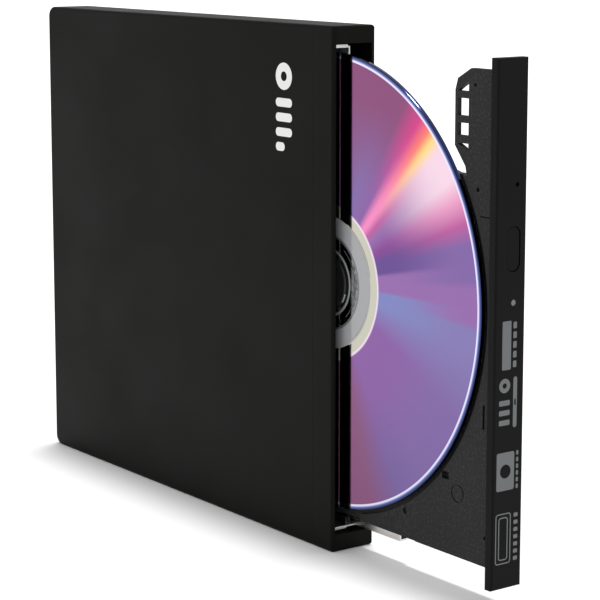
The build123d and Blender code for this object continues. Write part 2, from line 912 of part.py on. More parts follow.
with BuildPart() as eject_switch:
    switch_front = button_back + 1.6 + button_travel + 0.3
    switch_from = tray_face + tray_skin + 0.1
    switch_rear = switch_front + 2.4
    slab(switch_from, board_face, switch_front, switch_rear, button_z - 2.2, button_z + 2.2)
write(eject_switch.part, "eject_switch")

shield_thickness = 0.3
with BuildPart() as bottom_shield:
    slab(
        tray_under,
        tray_under + shield_thickness,
        tray_front + 2.0,
        opening_rear - 0.4,
        opening_low + 1.0,
        opening_high - 0.6,
    )
    for step in range(4):
        slab(
            tray_under,
            tray_under + shield_thickness,
            disc_y + 24.0 + 8.0 * step,
            disc_y + 27.0 + 8.0 * step,
            disc_z - 12.0,
            disc_z + 12.0,
            Mode.SUBTRACT,
        )
write(bottom_shield.part, "bottom_shield")

# The flat ribbon: a fixed run on the pan, a rolling bend and a run that travels with the tray.
ribbon_start = strip_rear - 4.0
ribbon_spare = drawer_travel / 2 + 1.5  # length of the moving run when the drawer is closed
bend_y = ribbon_start + closed - ribbon_spare - drawer_out / 2
bend_middle = (ribbon_moving_face + ribbon_fixed_face) / 2
bend_radius = (ribbon_fixed_face - ribbon_moving_face) / 2

with BuildPart() as ribbon_fixed_run:
    slab(
        ribbon_fixed_face - ribbon_thickness / 2,
        ribbon_fixed_face + ribbon_thickness / 2,
        bend_y,
        ribbon_end,
        ribbon_low,
        ribbon_high,
    )
write(ribbon_fixed_run.part, "ribbon_fixed_run")

with BuildPart() as ribbon_moving_run:
    slab(
        ribbon_moving_face - ribbon_thickness / 2,
        ribbon_moving_face + ribbon_thickness / 2,
        bend_y,
        ribbon_start,
        ribbon_low,
        ribbon_high,
    )
write(ribbon_moving_run.part, "ribbon_moving_run")

with BuildPart() as ribbon_bend:
    with BuildSketch(Plane.XY.offset(ribbon_low)):
        with Locations((bend_middle, bend_y)):
            Circle(bend_radius + ribbon_thickness / 2)
            Circle(bend_radius - ribbon_thickness / 2, mode=Mode.SUBTRACT)
        with Locations((bend_middle, bend_y + bend_radius)):
            Rectangle(4 * bend_radius, 2 * bend_radius, mode=Mode.SUBTRACT)
    extrude(amount=ribbon_high - ribbon_low)
write(ribbon_bend.part, "ribbon_bend")

# ================================================================ traverse unit
# Stacked up from the tray's underside: the motor's base plate, its lugs, then the frame.
base_plate_thickness = 0.5
lug_height = 0.8
frame_thickness = 1.2
base_plate_from = tray_under - base_plate_thickness
frame_to = base_plate_from - lug_height
frame_from = frame_to - frame_thickness
frame_inset = 0.8
window_low = disc_z - 30.0
window_high = disc_z + 23.0
window_front = disc_y + 14.0
window_rear = opening_rear - frame_inset - 1.5
rod_low = disc_z - 19.0
rod_high = disc_z + 19.0
rod_radius = 1.1
rod_clearance = 0.05
rod_x = (frame_from + frame_to) / 2
rod_front = disc_y + 12.0
screw_z = disc_z - 26.5
screw_radius = 1.0
motor_radius = 12.5
hub_hole_radius = 15.2
damper_radius = 2.4
ear_margin = 1.0
damper_places = [
    (opening_front - damper_radius - ear_margin, opening_low + 8.0),
    (opening_front - damper_radius - ear_margin, opening_high - 16.0),
    (disc_y + 30.0, opening_low - damper_radius - ear_margin),
]

with BuildPart() as traverse_cover:
    slab(
        well_floor + 0.1,
        well_floor + 0.1 + sheet,
        opening_front + 0.5,
        opening_rear - 0.5,
        opening_low + 0.5,
        opening_high - 0.5,
    )
    post(disc_y, disc_z, hub_hole_radius, well_floor, well_floor + 1.0, Mode.SUBTRACT)
    slab(
        well_floor,
        well_floor + 1.0,
        disc_y + 12.0,
        opening_rear - 2.0,
        disc_z - 9.0,
        disc_z + 9.0,
        Mode.SUBTRACT,
    )
    # Folded legs stand on the frame.
    for y in (opening_front + 6.0, opening_rear - 9.0):
        for z in (opening_low + 0.5, opening_high - 0.5 - sheet):
            slab(well_floor + 0.1, frame_from, y, y + 5.0, z, z + sheet)
write(traverse_cover.part, "traverse_cover")

with BuildPart() as traverse_frame:
    slab(
        frame_from,
        frame_to,
        opening_front + frame_inset,
        opening_rear - frame_inset,
        opening_low + frame_inset / 2,
        opening_high - frame_inset / 2,
    )
    # Ears on the dampers, under the tray's skin.
    ear = damper_radius + ear_margin
    for y, z in damper_places[:2]:
        slab(frame_from, frame_to, y - ear, opening_front + 2.0, z - ear, z + ear)
    for y, z in damper_places[2:]:
        slab(frame_from, frame_to, y - ear, y + ear, z - ear, opening_low + 2.0)
    for y, z in damper_places:
        post(y, z, damper_radius, frame_from, frame_to, Mode.SUBTRACT)
    # Windows for the sled and for the motor, and a bay for the sled motor.
    slab(frame_from, frame_to, window_front, window_rear, window_low, window_high, Mode.SUBTRACT)
    post(disc_y, disc_z, motor_radius + 0.5, frame_from, frame_to, Mode.SUBTRACT)
    slab(
        frame_from,
        frame_to,
        disc_y - 4.0,
        window_front + 0.1,
        screw_z - 2.6,
        window_low + 7.0,
        Mode.SUBTRACT,
    )
    # Blocks that hold the front ends of the guide rods.
    for z in (rod_low, rod_high):
        slab(frame_from, frame_to, rod_front - 2.0, window_front, z - 2.4, z + 2.4)
        rod(rod_x, z, rod_radius, rod_front, window_front, Mode.SUBTRACT)
write(traverse_frame.part, "traverse_frame")

# ---------------------------------------------------------------- dampers
damper_bore = 0.8
damper_to = frame_to + lug_height
with BuildPart() as damper_grommets:
    for y, z in damper_places:
        post(y, z, damper_radius, tray_face + tray_skin, damper_to)
        post(y, z, damper_bore, tray_face + tray_skin, damper_to, Mode.SUBTRACT)
write(damper_grommets.part, "damper_grommets")

with BuildPart() as damper_screws:
    for y, z in damper_places:
        post(y, z, damper_bore, tray_face + tray_skin, damper_to)
        post(y, z, damper_radius - 0.4, damper_to, damper_to + 0.4)
write(damper_screws.part, "damper_screws")

# ---------------------------------------------------------------- spindle motor
turntable_radius = 14.5
hub_radius = disc_bore / 2 - 0.1
hub_face = disc_face - hub_above_disc
shaft_radius = 1.0
shaft_clearance = 0.02
cup_from = disc_back + 0.85
cup_to = frame_to + 0.1
cup_wall = 0.5
coil_count = 9
jaw_count = 3
jaw_width = 2.6
jaw_depth = 2.2
jaw_stroke = 0.4
jaw_gap = 0.1

with BuildPart() as motor_base:
    post(disc_y, disc_z, motor_radius + 1.7, base_plate_from, tray_under - 0.05)
    post(disc_y, disc_z, 1.6, base_plate_from - 0.1, tray_under, Mode.SUBTRACT)
    # Three lugs rise to the frame.
    for angle in (60, 180, 300):
        lug_y = disc_y + (motor_radius + 1.2) * cos(radians(angle))
        lug_z = disc_z + (motor_radius + 1.2) * sin(radians(angle))
        slab(frame_to, base_plate_from, lug_y - 0.5, lug_y + 0.5, lug_z - 0.5, lug_z + 0.5)
write(motor_base.part, "motor_base")

with BuildPart() as spindle_bearing:
    post(disc_y, disc_z, 1.6, cup_from + cup_wall + 0.3, tray_under - 0.05)
    post(disc_y, disc_z, shaft_radius + shaft_clearance, cup_from, tray_under - 0.4, Mode.SUBTRACT)
write(spindle_bearing.part, "spindle_bearing")

with BuildPart() as motor_stator:
    stator_from = cup_from + cup_wall + 0.4
    stator_to = base_plate_from
    with BuildSketch(Plane.YZ.offset(stator_from)):
        with Locations((disc_y, disc_z)):
            Circle(4.6)
            with PolarLocations(7.4, coil_count):
                Rectangle(7.0, 1.5)
            with PolarLocations(10.9, coil_count):
                Rectangle(0.9, 4.6)
            Circle(1.6, mode=Mode.SUBTRACT)
    extrude(amount=stator_to - stator_from)
write(motor_stator.part, "motor_stator")

with BuildPart() as rotor_cup:
    post(disc_y, disc_z, motor_radius, cup_from, cup_to)
    post(disc_y, disc_z, motor_radius - cup_wall, cup_from + cup_wall, cup_to, Mode.SUBTRACT)
    post(disc_y, disc_z, shaft_radius, cup_from, cup_to, Mode.SUBTRACT)
write(rotor_cup.part, "rotor_cup")

with BuildPart() as spindle_shaft:
    post(disc_y, disc_z, shaft_radius, hub_face + 0.8, tray_under - 0.45)
write(spindle_shaft.part, "spindle_shaft")

with BuildPart() as turntable:
    post(disc_y, disc_z, turntable_radius, disc_back + 0.25, cup_from)
    post(disc_y, disc_z, hub_radius, hub_face, cup_from)
    hub_rim = faces().filter_by(Plane.YZ).sort_by(Axis.X)[0].edges()
    chamfer(hub_rim, 0.3)
    post(disc_y, disc_z, shaft_radius, hub_face + 0.8, cup_from, Mode.SUBTRACT)
    # Three open slots for the clamp jaws.
    for index in range(jaw_count):
        angle = 90 + index * 360 / jaw_count
        reach = hub_radius - jaw_depth - jaw_stroke
        with Locations(Location((hub_face, disc_y, disc_z), (angle, 0, 0))):
            with Locations((0.9, (reach + hub_radius + 1) / 2 - 0.2, 0)):
                Box(
                    1.8 - 0.4,
                    hub_radius + 1 - reach,
                    jaw_width + 2 * jaw_gap,
                    mode=Mode.SUBTRACT,
                )
write(turntable.part, "turntable")

for index in range(jaw_count):
    angle = 90 + index * 360 / jaw_count
    jaw_tip = hub_radius - 0.1
    with BuildPart() as clamp_jaw:
        with Locations(Location((hub_face, disc_y, disc_z), (angle, 0, 0))):
            with Locations((0.9, jaw_tip - jaw_depth / 2, 0)):
                Box(1.2, jaw_depth, jaw_width)
        nose_edges = edges().filter_by(Plane.YZ).sort_by(Axis.X)[0:1]
        fillet(nose_edges, 0.2)
    write(clamp_jaw.part, f"clamp_jaw_{index + 1}")

with BuildPart() as grip_ring:
    post(disc_y, disc_z, 14.0, disc_back, disc_back + 0.25)
    post(disc_y, disc_z, 10.5, disc_back, disc_back + 0.25, Mode.SUBTRACT)
write(grip_ring.part, "grip_ring")

with BuildPart() as disc:
    post(disc_y, disc_z, disc_radius, disc_face, disc_back)
    post(disc_y, disc_z, disc_bore / 2, disc_face, disc_back, Mode.SUBTRACT)
    disc_rims = edges().filter_by(GeomType.CIRCLE)
    fillet(disc_rims, 0.1)
write(disc.part, "disc")

# ---------------------------------------------------------------- pickup and its drive
lens_y = disc_y + 24.0
sled_front = lens_y - 9.6
sled_rear = lens_y + 2.4
sled_from = frame_from - 0.2
sled_to = frame_to + 1.0
lens_radius = 1.9
holder_half = 3.6
holder_from = disc_back + 1.0

with BuildPart() as guide_rods:
    rod(rod_x, rod_low, rod_radius, rod_front, window_rear)
    rod(rod_x, rod_high, rod_radius, rod_front, window_rear)
write(guide_rods.part, "guide_rods")

with BuildPart() as pickup_sled:
    slab(sled_from, sled_to, sled_front, sled_rear, rod_low - 2.2, rod_high + 2.2)
    for z in (rod_low, rod_high):
        rod(rod_x, z, rod_radius + rod_clearance, sled_front, sled_rear, Mode.SUBTRACT)
    # A well for the lens holder.
    slab(
        sled_from,
        sled_to - 0.8,
        lens_y - holder_half - 0.3,
        sled_rear,
        disc_z - holder_half - 0.3,
        disc_z + holder_half + 0.3,
        Mode.SUBTRACT,
    )
write(pickup_sled.part, "pickup_sled")

with BuildPart() as rack_nut:
    slab(frame_from, frame_to, sled_front, sled_front + 6.0, screw_z + screw_radius + 0.1, rod_low - 2.2)
write(rack_nut.part, "rack_nut")

with BuildPart() as lens_holder:
    slab(
        holder_from,
        sled_from + 0.4,
        lens_y - holder_half,
        lens_y + 2.3,
        disc_z - holder_half,
        disc_z + holder_half,
    )
    post(lens_y, disc_z, lens_radius, holder_from, sled_from + 0.4, Mode.SUBTRACT)
write(lens_holder.part, "lens_holder")

with BuildPart() as objective_lens:
    post(lens_y, disc_z, lens_radius, holder_from + 0.1, sled_from)
    lens_rim = edges().filter_by(GeomType.CIRCLE).sort_by(Axis.X)[0]
    fillet(lens_rim, 0.4)
write(objective_lens.part, "objective_lens")

sled_motor_rear = disc_y + 10.0
with BuildPart() as sled_motor:
    with BuildSketch(Plane.XZ.offset(-(disc_y - 3.0))):
        with Locations((rod_x, screw_z)):
            RectangleRounded(3.4, 5.0, 0.8)
    extrude(amount=-(sled_motor_rear - disc_y + 3.0))
write(sled_motor.part, "sled_motor")

thread_depth = 0.15
thread_width = 0.3
with BuildPart() as lead_screw:
    rod(rod_x, screw_z, screw_radius, sled_motor_rear + 0.1, window_rear - 0.4)
    # Shallow thread rings along the screw.
    ring_count = int((window_rear - sled_motor_rear - 6.0) / (screw_pitch / 2))
    for ring in range(ring_count):
        ring_y = sled_motor_rear + 3.0 + ring * screw_pitch / 2
        with Locations(Location((rod_x, ring_y, screw_z), (90, 0, 0))):
            Cylinder(screw_radius, thread_width, mode=Mode.SUBTRACT)
            Cylinder(screw_radius - thread_depth, thread_width)
write(lead_screw.part, "lead_screw")

# ================================================================ latch and ejector
lever_thickness = lever_to - lever_from
tail_length = 7.0
finger_y = latch_pin_y - drawer_out + latch_pin_radius + 1.1

with BuildPart() as latch_pin:
    post(latch_pin_y, latch_pin_z, latch_pin_radius, lever_from - 0.1, pan_floor)
write(latch_pin.part, "latch_pin")

with BuildPart() as latch_lever:
    # Drawn locked, then turned clear of the pin, which is how it stands while the drawer is open.
    with BuildSketch(Plane.YZ.offset(lever_from)):
        with BuildLine():
            Polyline(
                (finger_y - 0.7, latch_pin_z + 1.0),
                (finger_y + 0.7, latch_pin_z + 1.0),
                (finger_y + 0.9, lever_z + 2.2),
                (lever_y, lever_z + 1.9),
                (lever_y + 1.9, lever_z),
                (lever_y + 0.8, lever_z - tail_length),
                (lever_y - 0.8, lever_z - tail_length),
                (lever_y - 1.9, lever_z - 1.2),
                (finger_y - 0.7, lever_z + 0.6),
                close=True,
            )
        make_face()
    extrude(amount=lever_thickness)
    post(lever_y, lever_z, pivot_radius + pivot_clearance, lever_from, lever_to, Mode.SUBTRACT)
pivot_axis = Axis((lever_from, lever_y, lever_z), (1, 0, 0))
write(latch_lever.part.rotate(pivot_axis, latch_swing), "latch_lever")

solenoid_from = tray_face + tray_skin + 0.3
solenoid_to = tray_under - 0.2
solenoid_half_width = 3.0
plunger_radius = 0.8
plunger_clearance = 0.05
with BuildPart() as solenoid:
    solenoid_front = lever_y + 5.0
    solenoid_rear = opening_front - 1.0
    plunger_z = lever_z - tail_length + 1.0
    plunger_x = (solenoid_from + solenoid_to) / 2
    slab(
        solenoid_from,
        solenoid_to,
        solenoid_front,
        solenoid_rear,
        plunger_z - solenoid_half_width,
        plunger_z + solenoid_half_width,
    )
    bore = plunger_radius + plunger_clearance
    rod(plunger_x, plunger_z, bore, solenoid_front, solenoid_rear - 2.0, Mode.SUBTRACT)
write(solenoid.part, "solenoid")

with BuildPart() as solenoid_plunger:
    rod(plunger_x, plunger_z, plunger_radius, lever_y + 3.4, solenoid_rear - 3.0)
write(solenoid_plunger.part, "solenoid_plunger")

with BuildPart() as release_slider:
    slab(hole_x - 0.7, hole_x + 0.6, tray_front + 3.0, finger_y - 2.2, hole_z - 0.9, hole_z + 0.7)
write(release_slider.part, "release_slider")

ejector_z = tray_low + tray_wall + 1.6
ejector_x = tray_face + tray_skin + 1.6
ejector_rear = tray_rear - socket_notch_depth
ejector_length = 22.0
ejector_front = ejector_rear - ejector_length
ejector_rod_radius = 0.6
spring_radius = 1.0
spring_wire = 0.25
spring_pitch = 1.3
spring_turns = 14
spring_length = 19.0
with BuildPart() as ejector_rod:
    rod(ejector_x, ejector_z, ejector_rod_radius, ejector_front, ejector_rear - 0.3)
    rod(ejector_x, ejector_z, spring_radius + 0.3, ejector_front - 1.0, ejector_front)
write(ejector_rod.part, "ejector_rod")

with BuildPart() as ejector_spring:
    # Close turns drawn as rings joined by a thin sleeve.
    for turn in range(spring_turns):
        turn_y = ejector_front + 1.0 + turn * spring_pitch
        with Locations(Location((ejector_x, turn_y, ejector_z), (90, 0, 0))):
            Torus(spring_radius, spring_wire)
    spring_rear = ejector_front + spring_length
    rod(ejector_x, ejector_z, spring_radius + 0.05, ejector_front, spring_rear)
    rod(ejector_x, ejector_z, ejector_rod_radius + 0.1, ejector_front, spring_rear, Mode.SUBTRACT)
write(ejector_spring.part, "ejector_spring")
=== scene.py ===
"""Slim external optical drive, standing on its narrow side with the drawer part-way out."""

from math import cos, pi, radians, sin

import bmesh
import bpy
from mathutils import Matrix, Vector


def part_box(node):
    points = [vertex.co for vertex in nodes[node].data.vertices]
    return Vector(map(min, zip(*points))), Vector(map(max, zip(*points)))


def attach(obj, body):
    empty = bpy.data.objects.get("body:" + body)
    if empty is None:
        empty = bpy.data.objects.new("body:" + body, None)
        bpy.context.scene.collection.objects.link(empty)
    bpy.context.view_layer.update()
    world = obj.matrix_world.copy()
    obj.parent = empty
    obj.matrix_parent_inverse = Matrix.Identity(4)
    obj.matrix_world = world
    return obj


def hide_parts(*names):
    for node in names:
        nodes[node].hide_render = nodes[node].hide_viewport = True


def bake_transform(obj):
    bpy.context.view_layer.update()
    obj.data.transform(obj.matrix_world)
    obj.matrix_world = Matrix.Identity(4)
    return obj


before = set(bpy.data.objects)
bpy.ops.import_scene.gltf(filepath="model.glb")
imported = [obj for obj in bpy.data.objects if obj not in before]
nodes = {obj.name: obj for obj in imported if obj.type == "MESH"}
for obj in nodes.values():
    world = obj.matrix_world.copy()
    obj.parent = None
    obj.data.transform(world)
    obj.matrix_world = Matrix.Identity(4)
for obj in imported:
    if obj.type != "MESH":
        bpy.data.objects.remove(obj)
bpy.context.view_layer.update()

MM = 0.001

# ================================================================ case shell
# Lid, base cover and front collar: injection-moulded black ABS with a fine spark-eroded texture.
# The lid carries the side walls, the cover screws on from behind and the collar snaps on in front.


def add(tree, kind, inputs=None, **settings):
    """A node in the tree; each input is a value, or a socket of another node to link."""
    node = tree.nodes.new(kind)
    for name, value in settings.items():
        setattr(node, name, value)
    for key, value in (inputs or {}).items():
        if isinstance(value, bpy.types.NodeSocket):
            tree.links.new(value, node.inputs[key])
        else:
            node.inputs[key].default_value = value
    return node


def effect(name, inputs, outputs):
    """An empty shader node group with named sockets; a colour input has a 4-part value."""
    group = bpy.data.node_groups.new(name, "ShaderNodeTree")
    for label, value in inputs.items():
        kind = "NodeSocketColor" if isinstance(value, tuple) else "NodeSocketFloat"
        group.interface.new_socket(label, in_out="INPUT", socket_type=kind).default_value = value
    for label, kind in outputs.items():
        group.interface.new_socket(label, in_out="OUTPUT", socket_type=kind)
    return group, add(group, "NodeGroupInput").outputs, add(group, "NodeGroupOutput")


def mixed(tree, share, first, second):
    """The socket of a colour mixed from two others."""
    mix = add(tree, "ShaderNodeMix", data_type="RGBA")
    for index, value in ((0, share), (6, first), (7, second)):
        if isinstance(value, bpy.types.NodeSocket):
            tree.links.new(value, mix.inputs[index])
        else:
            mix.inputs[index].default_value = value
    return mix.outputs[2]


def reckon(tree, operation, first, second=0.0):
    """The socket of a sum, product or other reckoning of two values."""
    return add(tree, "ShaderNodeMath", {0: first, 1: second}, operation=operation).outputs[0]


def ranged(tree, value, low, high, to_low=0.0, to_high=1.0, **settings):
    """The socket of a value carried from one range into another and held at its ends."""
    limits = {0: value, 1: low, 2: high, 3: to_low, 4: to_high}
    return add(tree, "ShaderNodeMapRange", limits, **settings).outputs[0]


def bumped(tree, height, strength, depth):
    """The bump node of a relief with this depth in metres."""
    return add(tree, "ShaderNodeBump", {"Height": height, "Strength": strength, "Distance": depth})


def object_place(tree):
    """The socket of a point's place on its own piece, in metres."""
    return add(tree, "ShaderNodeTexCoord").outputs["Object"]


def new_material(name):
    """An empty material, its node tree and its surface shader."""
    material = bpy.data.materials.new(name)
    material.use_nodes = True
    return material, material.node_tree, material.node_tree.nodes["Principled BSDF"]


def skinned(name, skin_effect, inputs):
    """A material whose colour, gloss and relief come from one shared effect."""
    material, tree, shader = new_material(name)
    skin = add(tree, "ShaderNodeGroup", inputs, node_tree=skin_effect)
    for output, target in (("Colour", "Base Color"), ("Roughness", "Roughness"), ("Normal", "Normal")):
        tree.links.new(skin.outputs[output], shader.inputs[target])
    return material, tree, shader


# Shared effect: the grain of a moulded face, with faint cloudy variation in colour and gloss.
skin_sockets = {"Colour": "NodeSocketColor", "Roughness": "NodeSocketFloat", "Normal": "NodeSocketVector"}
moulded_grain, grain_in, grain_out = effect(
    "moulded_grain",
    {
        "Colour": (0.02, 0.02, 0.02, 1.0),
        "Grains per metre": 4000.0,
        "Depth": 0.00001,
        "Roughness": 0.5,
        "Mottle": 0.2,
    },
    skin_sockets,
)
place = object_place(moulded_grain)
fine = add(
    moulded_grain,
    "ShaderNodeTexNoise",
    {"Vector": place, "Scale": grain_in["Grains per metre"], "Detail": 2.0},
)
cloud = add(moulded_grain, "ShaderNodeTexNoise", {"Vector": place, "Scale": 45.0, "Detail": 4.0})
bump = bumped(moulded_grain, fine.outputs[0], 1.0, grain_in["Depth"])
dark = mixed(moulded_grain, grain_in["Mottle"], grain_in["Colour"], (0.0, 0.0, 0.0, 1.0))
shade = mixed(moulded_grain, cloud.outputs[0], dark, grain_in["Colour"])
cloud_swing = reckon(moulded_grain, "SUBTRACT", cloud.outputs[0], 0.5)
gloss_swing = reckon(moulded_grain, "MULTIPLY", cloud_swing, 0.25)
gloss = reckon(moulded_grain, "ADD", grain_in["Roughness"], gloss_swing)
moulded_grain.links.new(shade, grain_out.inputs["Colour"])
moulded_grain.links.new(gloss, grain_out.inputs["Roughness"])
moulded_grain.links.new(bump.outputs[0], grain_out.inputs["Normal"])

# Shared effect: corners rubbed by handling, found where a rounded copy of the surface departs from it.
rubbed_edges, rubbed_in, rubbed_out = effect(
    "rubbed_edges",
    {"Width": 0.0003, "Amount": 0.6},
    {"Mask": "NodeSocketFloat"},
)
rounded = add(rubbed_edges, "ShaderNodeBevel", {"Radius": rubbed_in["Width"]}, samples=4)
surface = add(rubbed_edges, "ShaderNodeNewGeometry")
agreement = add(
    rubbed_edges,
    "ShaderNodeVectorMath",
    {0: rounded.outputs[0], 1: surface.outputs["Normal"]},
    operation="DOT_PRODUCT",
)
departure = reckon(rubbed_edges, "SUBTRACT", 1.0, agreement.outputs["Value"])
patchy = add(
    rubbed_edges,
    "ShaderNodeTexNoise",
    {"Vector": object_place(rubbed_edges), "Scale": 220.0, "Detail": 3.0},
)
patchy_departure = reckon(rubbed_edges, "MULTIPLY", departure, patchy.outputs[0])
strong = ranged(rubbed_edges, patchy_departure, 0.01, 0.12, to_high=rubbed_in["Amount"])
rubbed_edges.links.new(strong, rubbed_out.inputs["Mask"])


def moulded(name, colour, roughness, specular, grain=4000.0, depth=0.00001, mottle=0.2, rub=0.5):
    """A moulded plastic or rubber finish."""
    material, tree, shader = skinned(
        name,
        moulded_grain,
        {
            "Colour": (*colour, 1.0),
            "Grains per metre": grain,
            "Depth": depth,
            "Roughness": roughness,
            "Mottle": mottle,
        },
    )
    shader.inputs["Specular IOR Level"].default_value = specular
    rubbing = add(tree, "ShaderNodeGroup", {"Amount": rub}, node_tree=rubbed_edges)
    unworn = shader.inputs["Base Color"].links[0].from_socket
    worn = tuple(min(1.0, 2.2 * part + 0.012) for part in colour)
    rubbed = mixed(tree, rubbing.outputs["Mask"], unworn, (*worn, 1.0))
    tree.links.new(rubbed, shader.inputs["Base Color"])
    return material


def finish_nodes(material, *names):
    """Give pieces of the assembly their finish."""
    for name in names:
        nodes[name].data.materials.clear()
        nodes[name].data.materials.append(material)


case_black = moulded("case_black", (0.0048, 0.0045, 0.0039), roughness=0.46, specular=0.055, depth=0.000012)
finish_nodes(case_black, "lid", "base_cover", "front_collar")

# ================================================================ lid print
# A plain white pictogram, screen-printed near the lid's front upper corner: a disc seen face-on
# above a stack of discs seen edge-on. The ink is a thin, slightly glossy film.
lid_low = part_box("lid")[0]
ink_thickness = 0.02 * MM
outline_steps = 6


def rounded_bar(across, up, width, length, corner):
    """The outline of a bar with rounded corners, centred on (across, up)."""
    points = []
    for quarter, (side, end) in enumerate(((1, 1), (-1, 1), (-1, -1), (1, -1))):
        for step in range(outline_steps):
            turn = radians(90 * (quarter + step / (outline_steps - 1)))
            points.append(
                (
                    across + side * (width / 2 - corner) + corner * cos(turn),
                    up + end * (length / 2 - corner) + corner * sin(turn),
                )
            )
    return points


def circle(across, up, radius):
    """A round outline with as many points as a bar's, so that the two can bound one shape."""
    return rounded_bar(across, up, 2 * radius, 2 * radius, radius)


def solid(name, made):
    """A piece of the scene from a shape that is ready."""
    mesh = bpy.data.meshes.new(name)
    made.to_mesh(mesh)
    made.free()
    piece = bpy.data.objects.new(name, mesh)
    bpy.context.scene.collection.objects.link(piece)
    return piece


def printed(name, shapes, spot, outward, ink, body):
    """Flat ink shapes, each an outline and the outline of its hole or None, laid on a face.

    spot turns (across, up) in millimetres into a point on that face.
    """
    made = bmesh.new()
    lift = Vector(outward) * ink_thickness
    for outline, hole in shapes:
        under = [made.verts.new(spot(*point)) for point in outline]
        over = [made.verts.new(spot(*point) + lift) for point in outline]
        count = len(outline)
        loops = [(under, over)]
        if hole is None:
            made.faces.new(under)
            made.faces.new(over)
        else:
            inner_under = [made.verts.new(spot(*point)) for point in hole]
            inner_over = [made.verts.new(spot(*point) + lift) for point in hole]
            loops.append((inner_under, inner_over))
            for outer, inner in ((under, inner_under), (over, inner_over)):
                for here in range(count):
                    there = (here + 1) % count
                    made.faces.new((outer[here], outer[there], inner[there], inner[here]))
        for low_ring, high_ring in loops:
            for here in range(count):
                there = (here + 1) % count
                made.faces.new((low_ring[here], low_ring[there], high_ring[there], high_ring[here]))
    bmesh.ops.remove_doubles(made, verts=made.verts, dist=ink_thickness / 10)
    bmesh.ops.recalc_face_normals(made, faces=made.faces)
    piece = solid(name, made)
    piece.data.materials.append(ink)
    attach(piece, body)


def on_lid(across, up):
    """A point on the lid's outer face; across runs back from the case front."""
    return Vector((lid_low.x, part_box("front_collar")[0].y + across * MM, up * MM))


print_across = 21.4  # from the case front to the middle of the print
print_top = 124.0
print_width = 7.2
print_hole_radius = 1.3
first_bar_drop = 6.9
bar_pitch = 3.9
bar_length = 2.3
bar_corner = 1.1
bar_shares = (1.0, 1.0, 1.0, 0.55)  # of the print's width, from the top bar down
white_ink = moulded(
    "white_ink", (0.8, 0.8, 0.78), 0.35, 0.5, grain=9000.0, depth=0.000001, mottle=0.05, rub=0.0
)
face_on_disc = circle(print_across, print_top, print_width / 2)
lid_shapes = [(face_on_disc, circle(print_across, print_top, print_hole_radius))]
for row, share in enumerate(bar_shares):
    bar_across = print_across + (1.0 - share) * print_width / 2
    bar_up = print_top - first_bar_drop - bar_pitch * row
    lid_shapes.append((rounded_bar(bar_across, bar_up, print_width * share, bar_length, bar_corner), None))
printed("lid_print", lid_shapes, on_lid, (-1, 0, 0), white_ink, "enclosure")

# ================================================================ feet, foam and grommets
# Four self-adhesive feet, two strips of closed-cell foam between lid and drive, and the soft
# grommets that the traverse unit hangs in: all black rubber, duller and rougher than the case.
rubber_black = moulded(
    "rubber_black", (0.012, 0.012, 0.012), 0.85, 0.2, grain=2500.0, depth=0.00003, rub=0.2
)
finish_nodes(rubber_black, "rubber_feet", "foam_pads", "damper_grommets", "grip_ring")

# ================================================================ drive shell
# Folded zinc-coated sheet steel: the cover lies under the lid and the pan closes it from behind.
# Rolling leaves fine lines along the sheet, and the zinc gives it faint spangled patches.
rolled_sheet, sheet_in, sheet_out = effect(
    "rolled_sheet",
    {"Colour": (0.6, 0.6, 0.6, 1.0), "Roughness": 0.3, "Lines per metre": 3000.0, "Line Depth": 0.000004},
    skin_sockets,
)
along = add(
    rolled_sheet,
    "ShaderNodeMapping",
    {"Vector": object_place(rolled_sheet), "Scale": (1.0, 0.03, 1.0)},
)
lines = add(
    rolled_sheet,
    "ShaderNodeTexNoise",
    {"Vector": along.outputs[0], "Scale": sheet_in["Lines per metre"], "Detail": 3.0},
)
spangle = add(
    rolled_sheet,
    "ShaderNodeTexVoronoi",
    {"Vector": along.outputs[0], "Scale": 260.0, "Randomness": 1.0},
)
line_bump = bumped(rolled_sheet, lines.outputs[0], 0.6, sheet_in["Line Depth"])
duller = mixed(rolled_sheet, 0.2, sheet_in["Colour"], (0.1, 0.1, 0.11, 1.0))
spangled = mixed(rolled_sheet, spangle.outputs[0], sheet_in["Colour"], duller)
line_gloss = reckon(rolled_sheet, "MULTIPLY", lines.outputs[0], 0.12)
sheet_gloss = reckon(rolled_sheet, "ADD", sheet_in["Roughness"], line_gloss)
rolled_sheet.links.new(spangled, sheet_out.inputs["Colour"])
rolled_sheet.links.new(sheet_gloss, sheet_out.inputs["Roughness"])
rolled_sheet.links.new(line_bump.outputs[0], sheet_out.inputs["Normal"])


def metal(name, colour, roughness, lines_per_metre=3000.0, line_depth=0.000004):
    """A plated, rolled or drawn metal finish."""
    material, _, shader = skinned(
        name,
        rolled_sheet,
        {
            "Colour": (*colour, 1.0),
            "Roughness": roughness,
            "Lines per metre": lines_per_metre,
            "Line Depth": line_depth,
        },
    )
    shader.inputs["Metallic"].default_value = 1.0
    return material


shell_steel = metal("shell_steel", (0.62, 0.62, 0.61), 0.3)
finish_nodes(shell_steel, "drive_cover", "drive_pan", "usb_socket")
screw_steel = metal("screw_steel", (0.42, 0.42, 0.43), 0.28, lines_per_metre=6000.0)
finish_nodes(screw_steel, "case_screws", "shell_screws", "damper_screws", "latch_pin")

# ================================================================ slides
# Black acetal guides are clipped to the pan; bright stainless rails run in them.
guide_black = moulded("guide_black", (0.011, 0.011, 0.011), 0.38, 0.4, grain=7000.0, depth=0.000003)
finish_nodes(guide_black, "lower_guide", "upper_guide", "latch_lever", "release_slider", "rack_nut")
rail_steel = metal("rail_steel", (0.72, 0.7, 0.67), 0.2)
finish_nodes(rail_steel, "lower_rail", "upper_rail", "guide_rods")
finish_nodes(rail_steel, "spindle_shaft", "ejector_rod", "solenoid_plunger")

